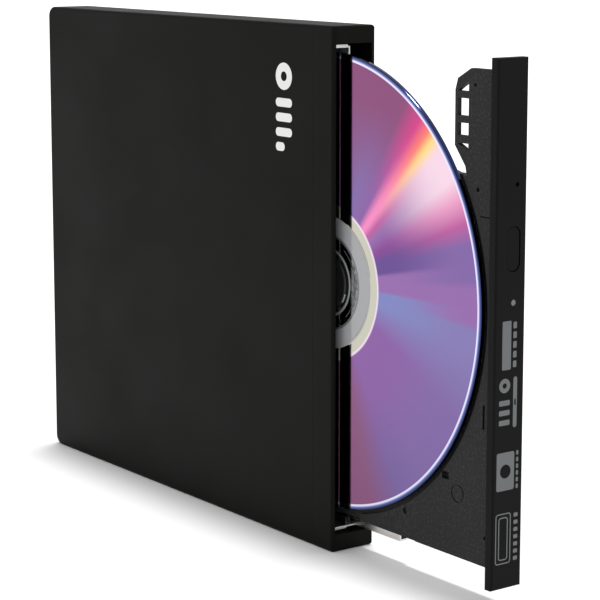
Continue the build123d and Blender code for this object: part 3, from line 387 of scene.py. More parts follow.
# ================================================================ circuit boards
# Glass-epoxy boards under green solder mask. Copper tracks run mostly straight along and across the
# board and show through the mask as paler, slightly raised lines.
board_tracks, tracks_in, tracks_out = effect(
    "board_tracks",
    {"Mask Colour": (0.008, 0.07, 0.025, 1.0), "Track Colour": (0.02, 0.15, 0.05, 1.0), "Pitch": 330.0},
    {"Colour": "NodeSocketColor", "Height": "NodeSocketFloat"},
)
board_place = object_place(board_tracks)
blocks = add(
    board_tracks, "ShaderNodeTexVoronoi", {"Vector": board_place, "Scale": 130.0}, distance="MANHATTAN"
)
block_parts = add(board_tracks, "ShaderNodeSeparateColor", {0: blocks.outputs["Color"]})
waves = {"Vector": board_place, "Scale": tracks_in["Pitch"]}
across_lines = add(board_tracks, "ShaderNodeTexWave", waves, bands_direction="Y")
along_lines = add(board_tracks, "ShaderNodeTexWave", waves, bands_direction="Z")
turned_block = reckon(board_tracks, "GREATER_THAN", block_parts.outputs[0], 0.5)
tracked_block = reckon(board_tracks, "GREATER_THAN", block_parts.outputs[1], 0.35)
either = add(
    board_tracks, "ShaderNodeMix", {0: turned_block, 2: across_lines.outputs[1], 3: along_lines.outputs[1]}
)
crest = reckon(board_tracks, "GREATER_THAN", either.outputs[0], 0.62)
track = reckon(board_tracks, "MULTIPLY", crest, tracked_block)
board_colour = mixed(board_tracks, track, tracks_in["Mask Colour"], tracks_in["Track Colour"])
board_tracks.links.new(board_colour, tracks_out.inputs["Colour"])
board_tracks.links.new(track, tracks_out.inputs["Height"])

board_green, tree, shader = new_material("board_green")
tracks = add(tree, "ShaderNodeGroup", node_tree=board_tracks)
track_bump = bumped(tree, tracks.outputs["Height"], 0.5, 0.03 * MM)
tree.links.new(tracks.outputs["Colour"], shader.inputs["Base Color"])
tree.links.new(track_bump.outputs[0], shader.inputs["Normal"])
shader.inputs["Roughness"].default_value = 0.28
shader.inputs["Coat Weight"].default_value = 0.3
finish_nodes(board_green, "bridge_board", "rear_board", "tray_board")

# ================================================================ chips and connectors
# Moulded packages and connector bodies soldered to the boards; their legs and contact blades are
# tinned or gold-plated strips, stamped and set out in even rows.
chip_black = moulded("chip_black", (0.012, 0.012, 0.013), 0.5, 0.35, grain=6000.0, depth=0.000006)
finish_nodes(chip_black, "bridge_chips", "tray_chips", "eject_switch")
finish_nodes(chip_black, "sata_plug", "sata_socket", "ribbon_socket")


def geometry_tree(name, inputs):
    """An empty geometry tree with named inputs for its sizes, and one for its finish."""
    kinds = {int: "NodeSocketInt", float: "NodeSocketFloat", tuple: "NodeSocketVector"}
    tree = bpy.data.node_groups.new(name, "GeometryNodeTree")
    for label, value in inputs.items():
        socket = tree.interface.new_socket(label, in_out="INPUT", socket_type=kinds[type(value)])
        socket.default_value = value
    tree.interface.new_socket("Finish", in_out="INPUT", socket_type="NodeSocketMaterial")
    tree.interface.new_socket("Geometry", in_out="OUTPUT", socket_type="NodeSocketGeometry")
    return tree, add(tree, "NodeGroupInput").outputs


def close_tree(tree, geometry, finish):
    """Real geometry with its finish, as the tree's result."""
    real = add(tree, "GeometryNodeRealizeInstances", {0: geometry})
    coated = add(tree, "GeometryNodeSetMaterial", {"Geometry": real.outputs[0], "Material": finish})
    add(tree, "NodeGroupOutput", {0: coated.outputs[0]})


def grown(name, tree, sizes, finish, place, body):
    """The plain mesh that a geometry tree makes from these sizes, put in place on a body."""
    piece = bpy.data.objects.new(name, bpy.data.meshes.new(name))
    bpy.context.scene.collection.objects.link(piece)
    modifier = piece.modifiers.new("growth", "NODES")
    modifier.node_group = tree
    wanted = {**sizes, "Finish": finish}
    for item in tree.interface.items_tree:
        if item.in_out == "INPUT":
            modifier[item.identifier] = wanted[item.name]
    evaluated = piece.evaluated_get(bpy.context.evaluated_depsgraph_get())
    mesh = bpy.data.meshes.new_from_object(evaluated)
    piece.modifiers.clear()
    piece.data = mesh
    mesh.transform(place)
    mesh.name = name
    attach(piece, body)
    return piece


# A row of equal stamped strips, each with a foot and a riser.
strip_row, row_in = geometry_tree(
    "strip_row",
    {
        "Count": 5,
        "Start": (0.0, 0.0, 0.0),
        "Step": (0.0, 0.0, 0.001),
        "Foot": (0.0001, 0.0006, 0.0003),
        "Riser": 0.0004,
    },
)
row_line = add(
    strip_row,
    "GeometryNodeMeshLine",
    {"Count": row_in["Count"], "Start Location": row_in["Start"], "Offset": row_in["Step"]},
)
foot = add(strip_row, "GeometryNodeMeshCube", {"Size": row_in["Foot"]})
foot_parts = add(strip_row, "ShaderNodeSeparateXYZ", {0: row_in["Foot"]})
riser_width = reckon(strip_row, "MULTIPLY", foot_parts.outputs[1], 0.3)
riser_size = add(
    strip_row,
    "ShaderNodeCombineXYZ",
    {0: row_in["Riser"], 1: riser_width, 2: foot_parts.outputs[2]},
)
riser = add(strip_row, "GeometryNodeMeshCube", {"Size": riser_size.outputs[0]})
riser_out = reckon(strip_row, "MULTIPLY", row_in["Riser"], -0.5)
riser_along = reckon(strip_row, "MULTIPLY", foot_parts.outputs[1], 0.4)
riser_spot = add(strip_row, "ShaderNodeCombineXYZ", {0: riser_out, 1: riser_along})
riser_placed = add(
    strip_row, "GeometryNodeTransform", {"Geometry": riser.outputs[0], "Translation": riser_spot.outputs[0]}
)
leg = add(strip_row, "GeometryNodeJoinGeometry")
strip_row.links.new(foot.outputs[0], leg.inputs[0])
strip_row.links.new(riser_placed.outputs[0], leg.inputs[0])
row_set = add(
    strip_row,
    "GeometryNodeInstanceOnPoints",
    {"Points": row_line.outputs[0], "Instance": leg.outputs[0]},
)
close_tree(strip_row, row_set.outputs[0], row_in["Finish"])

# The shield under the drawer is thin tinned sheet, with a grid of shallow stiffening dimples.
shield_tin = metal("shield_tin", (0.4, 0.4, 0.39), 0.42, lines_per_metre=900.0)
tree = shield_tin.node_tree
shield_shader = tree.nodes["Principled BSDF"]
dimples = add(
    tree,
    "ShaderNodeTexVoronoi",
    {"Vector": object_place(tree), "Scale": 160.0, "Randomness": 0.0},
)
dimple = ranged(tree, dimples.outputs["Distance"], 0.12, 0.3)
dimple_bump = bumped(tree, dimple, 1.0, 0.35 * MM)
tree.links.new(shield_shader.inputs["Normal"].links[0].from_socket, dimple_bump.inputs["Normal"])
tree.links.new(dimple_bump.outputs[0], shield_shader.inputs["Normal"])
finish_nodes(shield_tin, "bottom_shield")

tin_plate = metal("tin_plate", (0.62, 0.61, 0.58), 0.25)
gold_plate = metal("gold_plate", (0.85, 0.58, 0.22), 0.22)
board_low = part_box("tray_board")[0]
# Each chip's reach behind the board's front edge, from and to, then above its lower end, in millimetres.
chip_outlines = {
    "drive_controller": (10.0, 24.0, 47.3, 61.3),
    "motor_driver": (8.0, 18.0, 27.3, 37.3),
    "memory_chip": (45.0, 53.0, 6.0, 14.0),
}
leg_pitch = 0.8 * MM
leg_foot = (0.12 * MM, 0.7 * MM, 0.35 * MM)
for chip_name, (y_from, y_to, z_from, z_to) in chip_outlines.items():
    count = int((z_to - z_from) * MM / leg_pitch) - 1
    margin = ((z_to - z_from) * MM - (count - 1) * leg_pitch) / 2
    for side, edge in ((-1, y_from), (1, y_to)):
        start = Vector(
            (
                board_low.x - leg_foot[0] / 2,
                board_low.y + edge * MM + side * leg_foot[1] / 2,
                board_low.z + z_from * MM + margin,
            )
        )
        mirror = Matrix.Translation(start) @ Matrix.Diagonal((1.0, -side, 1.0, 1.0))
        legs = grown(
            f"{chip_name}_legs_{'front' if side == -1 else 'rear'}",
            strip_row,
            {
                "Count": count,
                "Start": (0.0, 0.0, 0.0),
                "Step": (0.0, 0.0, leg_pitch),
                "Foot": leg_foot,
                "Riser": 0.5 * MM,
            },
            tin_plate,
            mirror,
            "drawer",
        )
        if side == 1:
            legs.data.flip_normals()

# Chip resistors and capacitors, set by machine in even rows but for the odd quarter turn.
small_parts, parts_in = geometry_tree(
    "small_parts",
    {
        "Field": (0.01, 0.01, 0.0),
        "Spacing": 0.003,
        "Density": 60000.0,
        "Seed": 3,
        "Size": (0.001, 0.0005, 0.0004),
    },
)
field_parts = add(small_parts, "ShaderNodeSeparateXYZ", {0: parts_in["Field"]})
field = add(
    small_parts, "GeometryNodeMeshGrid", {"Size X": field_parts.outputs[0], "Size Y": field_parts.outputs[1]}
)
scattered = add(
    small_parts,
    "GeometryNodeDistributePointsOnFaces",
    {
        "Mesh": field.outputs[0],
        "Distance Min": parts_in["Spacing"],
        "Density Max": parts_in["Density"],
        "Seed": parts_in["Seed"],
    },
    distribute_method="POISSON",
)
quarter = add(
    small_parts,
    "FunctionNodeRandomValue",
    {4: 0, 5: 1, "Seed": parts_in["Seed"]},
    data_type="INT",
)
quarter_turn = add(
    small_parts, "ShaderNodeCombineXYZ", {2: reckon(small_parts, "MULTIPLY", quarter.outputs[2], pi / 2)}
)
part_block = add(small_parts, "GeometryNodeMeshCube", {"Size": parts_in["Size"]})
set_parts = add(
    small_parts,
    "GeometryNodeInstanceOnPoints",
    {"Points": scattered.outputs[0], "Instance": part_block.outputs[0], "Rotation": quarter_turn.outputs[0]},
)
close_tree(small_parts, set_parts.outputs[0], parts_in["Finish"])


def scatter(name, centre, field, turn, size, seed, finish, body):
    """Small parts over a rectangle about centre, turned so that they stand on its face."""
    return grown(
        name,
        small_parts,
        {"Field": (*field, 0.0), "Spacing": 2.4 * MM, "Density": 90000.0, "Seed": seed, "Size": size},
        finish,
        Matrix.Translation(centre) @ turn,
        body,
    )


on_face = Matrix.Rotation(pi / 2, 4, "Y")
chip_size = (0.5 * MM, 1.0 * MM, 0.35 * MM)
component_face = board_low.x - chip_size[2] / 2
pale_ceramic = moulded("pale_ceramic", (0.32, 0.25, 0.17), 0.5, 0.4, rub=0.0)
component_field = (12.0 * MM, 7.0 * MM)
component_centre = Vector((component_face, board_low.y + 31.0 * MM, board_low.z + 8.0 * MM))
components = scatter(
    "board_components", component_centre, component_field, on_face, chip_size, 4, pale_ceramic, "drawer"
)

usb_low, usb_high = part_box("usb_socket")
contact_count = 5
contact_pitch = 0.8 * MM
usb_contacts = grown(
    "usb_contacts",
    strip_row,
    {
        "Count": contact_count,
        "Start": (0.0, 0.0, -(contact_count - 1) / 2 * contact_pitch),
        "Step": (0.0, 0.0, contact_pitch),
        "Foot": (0.05 * MM, 4.0 * MM, 0.4 * MM),
        "Riser": 0.04 * MM,
    },
    gold_plate,
    Matrix.Translation(
        ((usb_low.x + usb_high.x) / 2 - 0.48 * MM, usb_high.y - 3.6 * MM, (usb_low.z + usb_high.z) / 2)
    ),
    "enclosure",
)

# ================================================================ tray
# One dark grey moulding with a coarse matt texture carries the disc well, and its thin wing beside
# the disc is pierced to save weight. The glints of the texture are painted into its colour as fine pale
# specks.
tray_grey = moulded(
    "tray_grey", (0.0155, 0.0155, 0.0158), 0.62, 0.18, grain=2400.0, depth=0.00006, mottle=0.3
)
tree = tray_grey.node_tree
tray_shader = tree.nodes["Principled BSDF"]
tray_colour = tray_shader.inputs["Base Color"].links[0].from_socket
# Fine pale specks painted into the colour by noise: painted glints of the texture.
glint_noise = add(
    tree,
    "ShaderNodeTexNoise",
    {"Vector": object_place(tree), "Scale": 1600.0, "Detail": 2.0},
)
glint_share = ranged(tree, glint_noise.outputs[0], 0.5, 0.72, to_high=0.75)
glint_specked = mixed(tree, glint_share, tray_colour, (0.04, 0.04, 0.041, 1.0))
tree.links.new(glint_specked, tray_shader.inputs["Base Color"])
finish_nodes(tray_grey, "tray")

# ================================================================ bezel and button
# Black ABS with a finer, smoother face than the case; the button is a separate moulding in the
# same material, and a frosted light pipe shows beside it.
bezel_black = moulded("bezel_black", (0.0048, 0.0048, 0.0047), 0.5, 0.075, grain=5000.0, depth=0.00001)
finish_nodes(bezel_black, "bezel", "eject_button")
light_pipe = moulded("light_pipe", (0.16, 0.17, 0.16), 0.35, 0.5, rub=0.0)
finish_nodes(light_pipe, "led_lens")

# ================================================================ bezel print
# Plain grey pictograms, pad-printed along the lower half of the bezel: a bar with dashes, a disc
# with three strokes, a plaque with a round window and two nested frames.
bezel_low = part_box("bezel")[0]
grey_ink = moulded(
    "grey_ink", (0.13, 0.138, 0.143), 0.45, 0.4, grain=9000.0, depth=0.000001, mottle=0.15, rub=0.0
)


def on_bezel(across, up):
    """A point on the bezel's front face; across runs from the lid side, up from the lower end."""
    return Vector((bezel_low.x + across * MM, bezel_low.y, bezel_low.z + up * MM))


def bar_column(across, up, pitch, count, width, length, corner):
    """Equal bars, one above the other, without holes."""
    return [(rounded_bar(across, up + pitch * row, width, length, corner), None) for row in range(count)]


dashed_bar = [
    (rounded_bar(3.8, 59.9, 2.8, 11.8, 0.35), None),
    *bar_column(6.4, 55.2, 2.35, 5, 1.1, 1.6, 0.25),
]
disc_and_strokes = [
    (circle(3.35, 50.2, 1.75), circle(3.35, 50.2, 0.65)),
    *bar_column(3.35, 41.2, 2.4, 3, 3.4, 1.3, 0.3),
    (rounded_bar(6.7, 45.9, 1.2, 12.4, 0.6), rounded_bar(6.7, 45.9, 0.5, 1.6, 0.25)),
]
plaque = [
    (rounded_bar(3.95, 29.2, 5.6, 9.4, 0.5), circle(3.95, 29.2, 1.7)),
    *bar_column(7.7, 25.1, 1.65, 6, 0.7, 1.1, 0.2),
]
nested_frames = [
    (rounded_bar(3.5, 12.6, 4.9, 12.6, 0.8), rounded_bar(3.5, 12.6, 4.3, 12.0, 0.5)),
    (rounded_bar(3.5, 12.6, 3.0, 10.7, 0.8), rounded_bar(3.5, 12.6, 2.4, 10.1, 0.5)),
    *bar_column(7.5, 7.2, 1.8, 7, 1.3, 1.0, 0.25),
]
bezel_shapes = dashed_bar + disc_and_strokes + plaque + nested_frames
printed("bezel_print", bezel_shapes, on_bezel, (0, -1, 0), grey_ink, "drawer")

# ================================================================ flat ribbon
# A white film cable with parallel tinned conductors. One run is stuck to the pan, the next rolls over
# in a bend as the drawer moves, and the last is clamped in the socket on the drawer's board.
ribbon_white, tree, shader = new_material("ribbon_white")
conductors = add(
    tree,
    "ShaderNodeTexWave",
    {"Vector": object_place(tree), "Scale": 500.0},
    bands_direction="Z",
)
conductor = ranged(tree, conductors.outputs[1], 0.45, 0.6)
ribbon_colour = mixed(tree, conductor, (0.62, 0.6, 0.54, 1.0), (0.36, 0.35, 0.32, 1.0))
film_bump = bumped(tree, conductor, 0.4, 0.03 * MM)
tree.links.new(ribbon_colour, shader.inputs["Base Color"])
tree.links.new(film_bump.outputs[0], shader.inputs["Normal"])
shader.inputs["Roughness"].default_value = 0.3
finish_nodes(ribbon_white, "ribbon_bend")


def ribbon_run(node):
    """A run of ribbon in cross-cut lengths, in place of the node's box."""
    low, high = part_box(node)
    centre = (low + high) / 2
    size = high - low
    made = bmesh.new()
    bmesh.ops.create_cube(made, size=1.0)
    for vert in made.verts:
        vert.co = Vector(tuple(vert.co[i] * size[i] + centre[i] for i in range(3)))
    lengthwise = [edge for edge in made.edges if abs(edge.verts[0].co.y - edge.verts[1].co.y) > size.y / 2]
    bmesh.ops.subdivide_edges(made, edges=lengthwise, cuts=24)
    film = solid(node + "_film", made)
    film.data.materials.append(ribbon_white)
    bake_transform(film)
    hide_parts(node)


ribbon_run("ribbon_fixed_run")
# The bend travels half as far as the drawer.
ribbon_run("ribbon_moving_run")

# ================================================================ traverse
# A black pressed cover hides the die-cast frame that carries the spindle motor and the two ground
# rods for the laser sled. The frame hangs on soft rubber grommets, so it has no rigid joints.
deck_black = moulded("deck_black", (0.01, 0.01, 0.011), 0.45, 0.4, grain=5000.0, depth=0.000008)
finish_nodes(deck_black, "traverse_cover")
cast_alloy = metal("cast_alloy", (0.36, 0.36, 0.37), 0.5, lines_per_metre=1200.0)
finish_nodes(cast_alloy, "traverse_frame", "pickup_sled")

# ================================================================ spindle motor
# A flat outer-rotor motor: copper coils on a slotted core, a plated steel cup and an oil-soaked
# bronze bearing, on a pressed steel base.
motor_steel = metal("motor_steel", (0.5, 0.5, 0.5), 0.3)
finish_nodes(motor_steel, "motor_base", "rotor_cup", "sled_motor", "solenoid")
copper = metal("copper", (0.7, 0.32, 0.15), 0.35, lines_per_metre=4000.0, line_depth=0.00003)
finish_nodes(copper, "motor_stator")
bronze = metal("bronze", (0.5, 0.34, 0.16), 0.4)
finish_nodes(bronze, "spindle_bearing")

# ================================================================ clamp and lens
# The hub is hard grey plastic with three white acetal jaws on springs. The lens is coated glass in
# a black holder on two pairs of fine wires.
hub_grey = moulded("hub_grey", (0.01, 0.01, 0.01), 0.4, 0.3)
finish_nodes(hub_grey, "turntable", "lens_holder")
jaw_white = moulded("jaw_white", (0.5, 0.5, 0.48), 0.35, 0.5)
finish_nodes(jaw_white, "clamp_jaw_1", "clamp_jaw_2", "clamp_jaw_3", "rack_nut")
lens_glass, tree, shader = new_material("lens_glass")
# The coating's blue reflection, turning purple at glancing angles, is painted into the colour by angle of
# view.
facing = add(tree, "ShaderNodeLayerWeight", {"Blend": 0.4})
painted_coating_reflection = mixed(tree, facing.outputs["Facing"], (0.02, 0.04, 0.16, 1.0), (0.16, 0.05, 0.2, 1.0))
tree.links.new(painted_coating_reflection, shader.inputs["Base Color"])
shader.inputs["Roughness"].default_value = 0.03
shader.inputs["Coat Weight"].default_value = 1.0
finish_nodes(lens_glass, "objective_lens")

# ================================================================ screw and spring
# The lead screw is a ground rod with a rolled helical thread; the ejector spring is bright wire
# wound round its rod. Both are one helix each, drawn about the piece's own axis.
wound_helix, helix_in = geometry_tree(
    "wound_helix",
    {
        "Turns": 10.0,
        "Length": 0.02,
        "Helix Radius": 0.001,
        "Wire Radius": 0.0002,
        "Core Radius": 0.0008,
        "Steps": 24,
    },
)
helix_line = add(
    wound_helix,
    "GeometryNodeCurveSpiral",
    {
        "Resolution": helix_in["Steps"],
        "Rotations": helix_in["Turns"],
        "Start Radius": helix_in["Helix Radius"],
        "End Radius": helix_in["Helix Radius"],
        "Height": helix_in["Length"],
        "Reverse": False,
    },
)
wire_section = add(
    wound_helix, "GeometryNodeCurvePrimitiveCircle", {"Resolution": 8, "Radius": helix_in["Wire Radius"]}
)
wire = add(
    wound_helix,
    "GeometryNodeCurveToMesh",
    {"Curve": helix_line.outputs[0], "Profile Curve": wire_section.outputs[0], "Fill Caps": True},
)
core = add(
    wound_helix,
    "GeometryNodeMeshCylinder",
    {"Vertices": 32, "Radius": helix_in["Core Radius"], "Depth": helix_in["Length"]},
)
core_lift = add(
    wound_helix, "ShaderNodeCombineXYZ", {2: reckon(wound_helix, "MULTIPLY", helix_in["Length"], 0.5)}
)
core_placed = add(
    wound_helix, "GeometryNodeTransform", {"Geometry": core.outputs[0], "Translation": core_lift.outputs[0]}
)
wound = add(wound_helix, "GeometryNodeJoinGeometry")
wound_helix.links.new(wire.outputs[0], wound.inputs[0])
wound_helix.links.new(core_placed.outputs[0], wound.inputs[0])
helix_rounded = add(wound_helix, "GeometryNodeSetShadeSmooth", {0: wound.outputs[0]})
close_tree(wound_helix, helix_rounded.outputs[0], helix_in["Finish"])


def helix(node, body, turns, wire_radius, core_radius):
    """A helix along the drawer's travel that fills a node's box and takes its place."""
    low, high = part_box(node)
    outer = (high.x - low.x) / 2 - 0.01 * MM
    place = Matrix.Translation(((low.x + high.x) / 2, high.y - wire_radius, (low.z + high.z) / 2))
    piece = grown(
        node + "_wound",
        wound_helix,
        {
            "Turns": turns,
            "Length": high.y - low.y - 2 * wire_radius,
            "Helix Radius": outer - wire_radius,
            "Wire Radius": wire_radius,
            "Core Radius": core_radius,
            "Steps": 24,
        },
        rail_steel,
        place @ Matrix.Rotation(pi / 2, 4, "X"),
        body,
    )
    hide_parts(node)


helix("lead_screw", "screw", 11.0, 0.14 * MM, 0.72 * MM)
helix("ejector_spring", "drawer", 15.0, 0.17 * MM, 0.62 * MM)

# ================================================================ disc
# A recordable disc: clear polycarbonate over a dyed, mirror-bright recording layer. The bands of light that
# the grooves spread out from the middle are painted into its colour as painted reflections; the hub is
# clear, with a raised stacking ring.
disc_low, disc_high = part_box("disc")
disc_y = (disc_low.y + disc_high.y) / 2
disc_z = (disc_low.z + disc_high.z) / 2


def turned(name, profile, centre_y, centre_z, steps):
    """A closed profile of (x, radius) points turned about an axis across the drive."""
    made = bmesh.new()
    rings = []
    for step in range(steps):
        turn = 2 * pi * step / steps
        rings.append(
            [made.verts.new((x, centre_y + r * cos(turn), centre_z + r * sin(turn))) for x, r in profile]
        )
    for step in range(steps):
        here, there = rings[step], rings[(step + 1) % steps]
        for index in range(len(profile)):
            after = (index + 1) % len(profile)
            made.faces.new((here[index], here[after], there[after], there[index]))
    bmesh.ops.recalc_face_normals(made, faces=made.faces)
    for face in made.faces:
        face.smooth = True
    return solid(name, made)


disc_radius = (disc_high.z - disc_low.z) / 2
bore_radius = 7.5 * MM
edge_round = 0.12 * MM
ring_height = 0.1 * MM
face_x, back_x = disc_low.x, disc_high.x
# Out from the bore: a shallow groove, the raised stacking ring, the rounded rim, and back inwards.
disc_profile = [
    (face_x + edge_round, bore_radius),
    (face_x, bore_radius + edge_round),
    (face_x, 10.9 * MM),
    (face_x + ring_height, 11.0 * MM),
    (face_x + ring_height, 11.3 * MM),
    (face_x, 11.4 * MM),
    (face_x, 16.9 * MM),
    (face_x - ring_height, 17.1 * MM),
    (face_x - ring_height, 17.5 * MM),
    (face_x, 17.7 * MM),
    (face_x, disc_radius - 2 * edge_round),
    (face_x + edge_round * 0.6, disc_radius - edge_round * 0.6),
    (face_x + 2 * edge_round, disc_radius),
    (back_x - 2 * edge_round, disc_radius),
    (back_x - edge_round * 0.6, disc_radius - edge_round * 0.6),
    (back_x, disc_radius - 2 * edge_round),
    (back_x, bore_radius + edge_round),
    (back_x - edge_round, bore_radius),
]
disc = turned("recordable_disc", disc_profile, disc_y, disc_z, 256)
disc.data.set_sharp_from_angle(angle=radians(10))

disc_surface, tree, shader = new_material("disc_surface")
centred = add(
    tree, "ShaderNodeMapping", {"Vector": object_place(tree), "Location": (0.0, -disc_y, -disc_z)}
)
parts = add(tree, "ShaderNodeSeparateXYZ", {0: centred.outputs[0]})
across = parts.outputs["Y"]
up = parts.outputs["Z"]
flat = add(tree, "ShaderNodeCombineXYZ", {1: across, 2: up})
radius = add(tree, "ShaderNodeVectorMath", {0: flat.outputs[0]}, operation="LENGTH").outputs["Value"]
# The painted reflection bands repeat every half turn: share 0 and 1 point up and down, 0.5 along the travel.
bearing = reckon(tree, "ARCTAN2", reckon(tree, "MULTIPLY", across, -1.0), reckon(tree, "MULTIPLY", up, -1.0))
turn_share = reckon(tree, "FRACT", reckon(tree, "DIVIDE", bearing, pi))


def ramp(tree, share, stops, interpolation="LINEAR"):
    """A colour ramp along share, with (position, colour) stops."""
    node = add(tree, "ShaderNodeValToRGB", {0: share})
    node.color_ramp.interpolation = interpolation
    elements = node.color_ramp.elements
    while len(elements) > 1:
        elements.remove(elements[-1])
    elements[0].position = stops[0][0]
    elements[0].color = (*stops[0][1], 1.0)
    for position, colour in stops[1:]:
        elements.new(position).color = (*colour, 1.0)
    return node.outputs[0]


plum = (0.2, 0.055, 0.15)
rose = (0.2, 0.07, 0.165)
iris = (0.155, 0.098, 0.29)
violet = (0.175, 0.11, 0.305)
lavender = (0.185, 0.152, 0.355)
orchid = (0.235, 0.112, 0.32)
amethyst = (0.175, 0.1, 0.3)
cerise = (0.4, 0.085, 0.27)
blush = (0.65, 0.28, 0.45)
pearl = (0.72, 0.53, 0.63)
gold = (0.8, 0.56, 0.18)
coral = (0.78, 0.17, 0.13)
magenta = (0.52, 0.04, 0.2)
indigo = (0.105, 0.052, 0.22)
mauve = (0.2, 0.088, 0.29)
haze = (0.165, 0.185, 0.41)
pink = (0.7, 0.2, 0.42)
grape = (0.19, 0.045, 0.235)


def by_elevation(*stops):
    """Ramp stops from (degrees above the travel, colour) pairs."""
    return [((degrees_up + 90) / 180, colour) for degrees_up, colour in stops]


# The colour bands below are painted reflections: the light that the grooves spread out, set by direction
# round the disc.
outer_painted_reflections = ramp(
    tree,
    turn_share,
    by_elevation(
        (-90, plum),
        (-72, rose),
        (-60, iris),
        (-48, violet),
        (-28, violet),
        (-10, lavender),
        (-4, lavender),
        (-2.5, orchid),
        (6, orchid),
        (8, amethyst),
        (17, amethyst),
        (22, cerise),
        (28, blush),
        (33, pearl),
        (41, pearl),
        (44.5, gold),
        (47, coral),
        (51, magenta),
        (58, plum),
        (90, plum),
    ),
)
inner_painted_reflections = ramp(
    tree,
    turn_share,
    by_elevation(
        (-90, plum),
        (-70, rose),
        (-58, mauve),
        (-25, mauve),
        (-8, haze),
        (0, haze),
        (1.5, orchid),
        (11, orchid),
        (13, indigo),
        (21, indigo),
        (27, grape),
        (36, orchid),
        (41, cerise),
        (45.5, pink),
        (48, pink),
        (53, mauve),
        (65, violet),
        (90, plum),
    ),
)
# The zones below are shares of the disc's radius.
zone = reckon(tree, "DIVIDE", radius, disc_radius)
outward = ranged(tree, zone, 0.42, 0.92, interpolation_type="SMOOTHSTEP")
painted_reflection_bands = mixed(tree, outward, inner_painted_reflections, outer_painted_reflections)
clear_black = (0.01, 0.01, 0.01)
bright_edge = (0.36, 0.38, 0.39)
foil_grey = (0.1, 0.105, 0.105)
foil_pale = (0.22, 0.23, 0.23)
pale_ring = (0.34, 0.345, 0.36)
cream_ring = (0.46, 0.45, 0.37)
lilac_painted_highlight = (0.72, 0.6, 0.75)
# Where the recording layer starts, the hub ramp ends in a thin lilac painted highlight ring.
hub_zones = ramp(
    tree,
    zone,
    [
        (0.0, clear_black),
        (0.14, clear_black),
        (0.145, bright_edge),
        (0.15, foil_pale),
        (0.18, foil_grey),
        (0.205, foil_pale),
        (0.208, clear_black),
        (0.214, pale_ring),
        (0.29, pale_ring),
        (0.293, cream_ring),
        (0.333, cream_ring),
        (0.338, lilac_painted_highlight),
    ],
)
mottle_noise = add(
    tree,
    "ShaderNodeTexNoise",
    {"Vector": centred.outputs[0], "Scale": 900.0, "Detail": 3.0, "Roughness": 0.7},
)
foil = reckon(tree, "MULTIPLY", ranged(tree, zone, 0.15, 0.155), ranged(tree, zone, 0.205, 0.2))
dark_share = ranged(tree, mottle_noise.outputs[0], 0.42, 0.6)
mottled_share = reckon(tree, "MULTIPLY", reckon(tree, "MULTIPLY", dark_share, foil), 0.75)
hub_colour = mixed(tree, mottled_share, hub_zones, (0.03, 0.032, 0.033, 1.0))
recorded = ranged(tree, zone, 0.34, 0.348)
inner_and_data = mixed(tree, recorded, hub_colour, painted_reflection_bands)
# Near the rim: a thin lilac painted highlight line, then blue darkening to navy out to the edge.
rim_painted_highlight = (0.68, 0.66, 0.86)
rim_blue = (0.1, 0.14, 0.38)
rim_navy = (0.02, 0.03, 0.12)
rim_zones = ramp(
    tree, zone, [(0.0, rim_painted_highlight), (0.982, rim_painted_highlight), (0.986, rim_blue), (0.995, rim_navy)]
)
rim = ranged(tree, zone, 0.9735, 0.976)
recorded_side = mixed(tree, rim, inner_and_data, rim_zones)
# The face towards the tray carries a plain satin label print.
label_side = reckon(tree, "GREATER_THAN", parts.outputs["X"], back_x - ring_height)
tree.links.new(mixed(tree, label_side, recorded_side, (0.5, 0.5, 0.52, 1.0)), shader.inputs["Base Color"])
mirror = reckon(tree, "MAXIMUM", ranged(tree, zone, 0.29, 0.293), foil)
mirror_side = reckon(tree, "MULTIPLY", mirror, reckon(tree, "SUBTRACT", 1.0, label_side))
tree.links.new(mirror_side, shader.inputs["Metallic"])
shader.inputs["Roughness"].default_value = 0.1
shader.inputs["Coat Weight"].default_value = 0.25
shader.inputs["Coat Roughness"].default_value = 0.03
disc.data.materials.append(disc_surface)
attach(disc, "spindle")
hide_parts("disc")

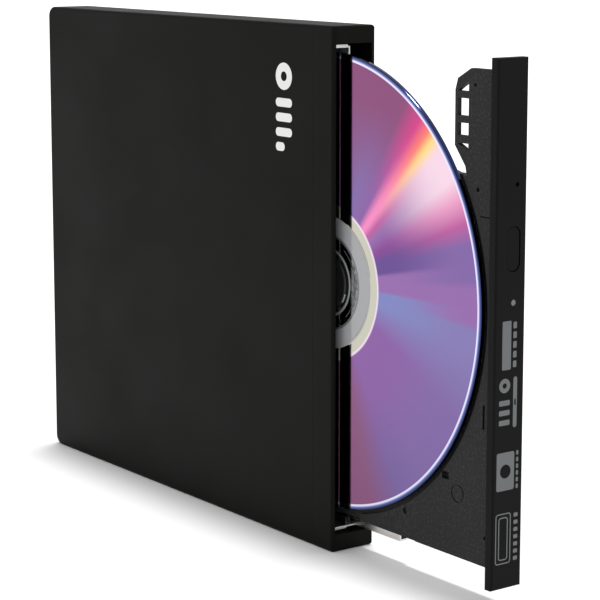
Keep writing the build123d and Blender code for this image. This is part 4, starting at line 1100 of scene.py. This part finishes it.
# ================================================================ studio
# A wide white floor, a bright even surround and one soft light, almost straight overhead.
floor_half = 9.0
floor_mesh = bpy.data.meshes.new("studio_floor")
floor_mesh.from_pydata(
    [
        (-floor_half, -floor_half, 0),
        (floor_half, -floor_half, 0),
        (floor_half, floor_half, 0),
        (-floor_half, floor_half, 0),
    ],
    [],
    [(0, 1, 2, 3)],
)
floor = bpy.data.objects.new("studio_floor", floor_mesh)
bpy.context.scene.collection.objects.link(floor)
floor_white, _, shader = new_material("floor_white")
shader.inputs["Base Color"].default_value = (0.95, 0.945, 0.945, 1.0)
shader.inputs["Roughness"].default_value = 0.9
shader.inputs["Specular IOR Level"].default_value = 0.0
floor.data.materials.append(floor_white)

world = bpy.data.worlds.new("studio")
world.use_nodes = True
bpy.context.scene.world = world
surround = world.node_tree.nodes["Background"]
surround.inputs["Color"].default_value = (1.0, 1.0, 1.0, 1.0)
seen = add(world.node_tree, "ShaderNodeLightPath").outputs["Is Camera Ray"]
brightness = ranged(world.node_tree, seen, 0.0, 1.0, to_low=0.76, to_high=1.1)
world.node_tree.links.new(brightness, surround.inputs["Strength"])

overhead_tilt = radians(4)  # leans back, so that the shadow falls in front of the case
overhead_data = bpy.data.lights.new("overhead", "SUN")
overhead_data.energy = 2.0
overhead_data.angle = radians(9)
overhead = bpy.data.objects.new("overhead", overhead_data)
bpy.context.scene.collection.objects.link(overhead)
towards_light = Vector((overhead_tilt, overhead_tilt * 0.5, 1.0))
overhead.rotation_euler = towards_light.to_track_quat("Z", "Y").to_euler()

camera_dip = 0.154
camera_turn = 0.636
camera_data = bpy.data.cameras.new("camera")
camera_data.lens = 124.62
camera_data.sensor_width = 36.0
camera_data.shift_y = -0.1
camera_data.clip_start = 0.01
camera_data.clip_end = 100.0
camera = bpy.data.objects.new("camera", camera_data)
bpy.context.scene.collection.objects.link(camera)
camera.location = (-0.326293, -0.491215, 0.165053)
camera.rotation_euler = (pi / 2 - camera_dip, 0.0, -camera_turn)
bpy.context.scene.camera = camera
bpy.context.scene.view_settings.view_transform = "Standard"
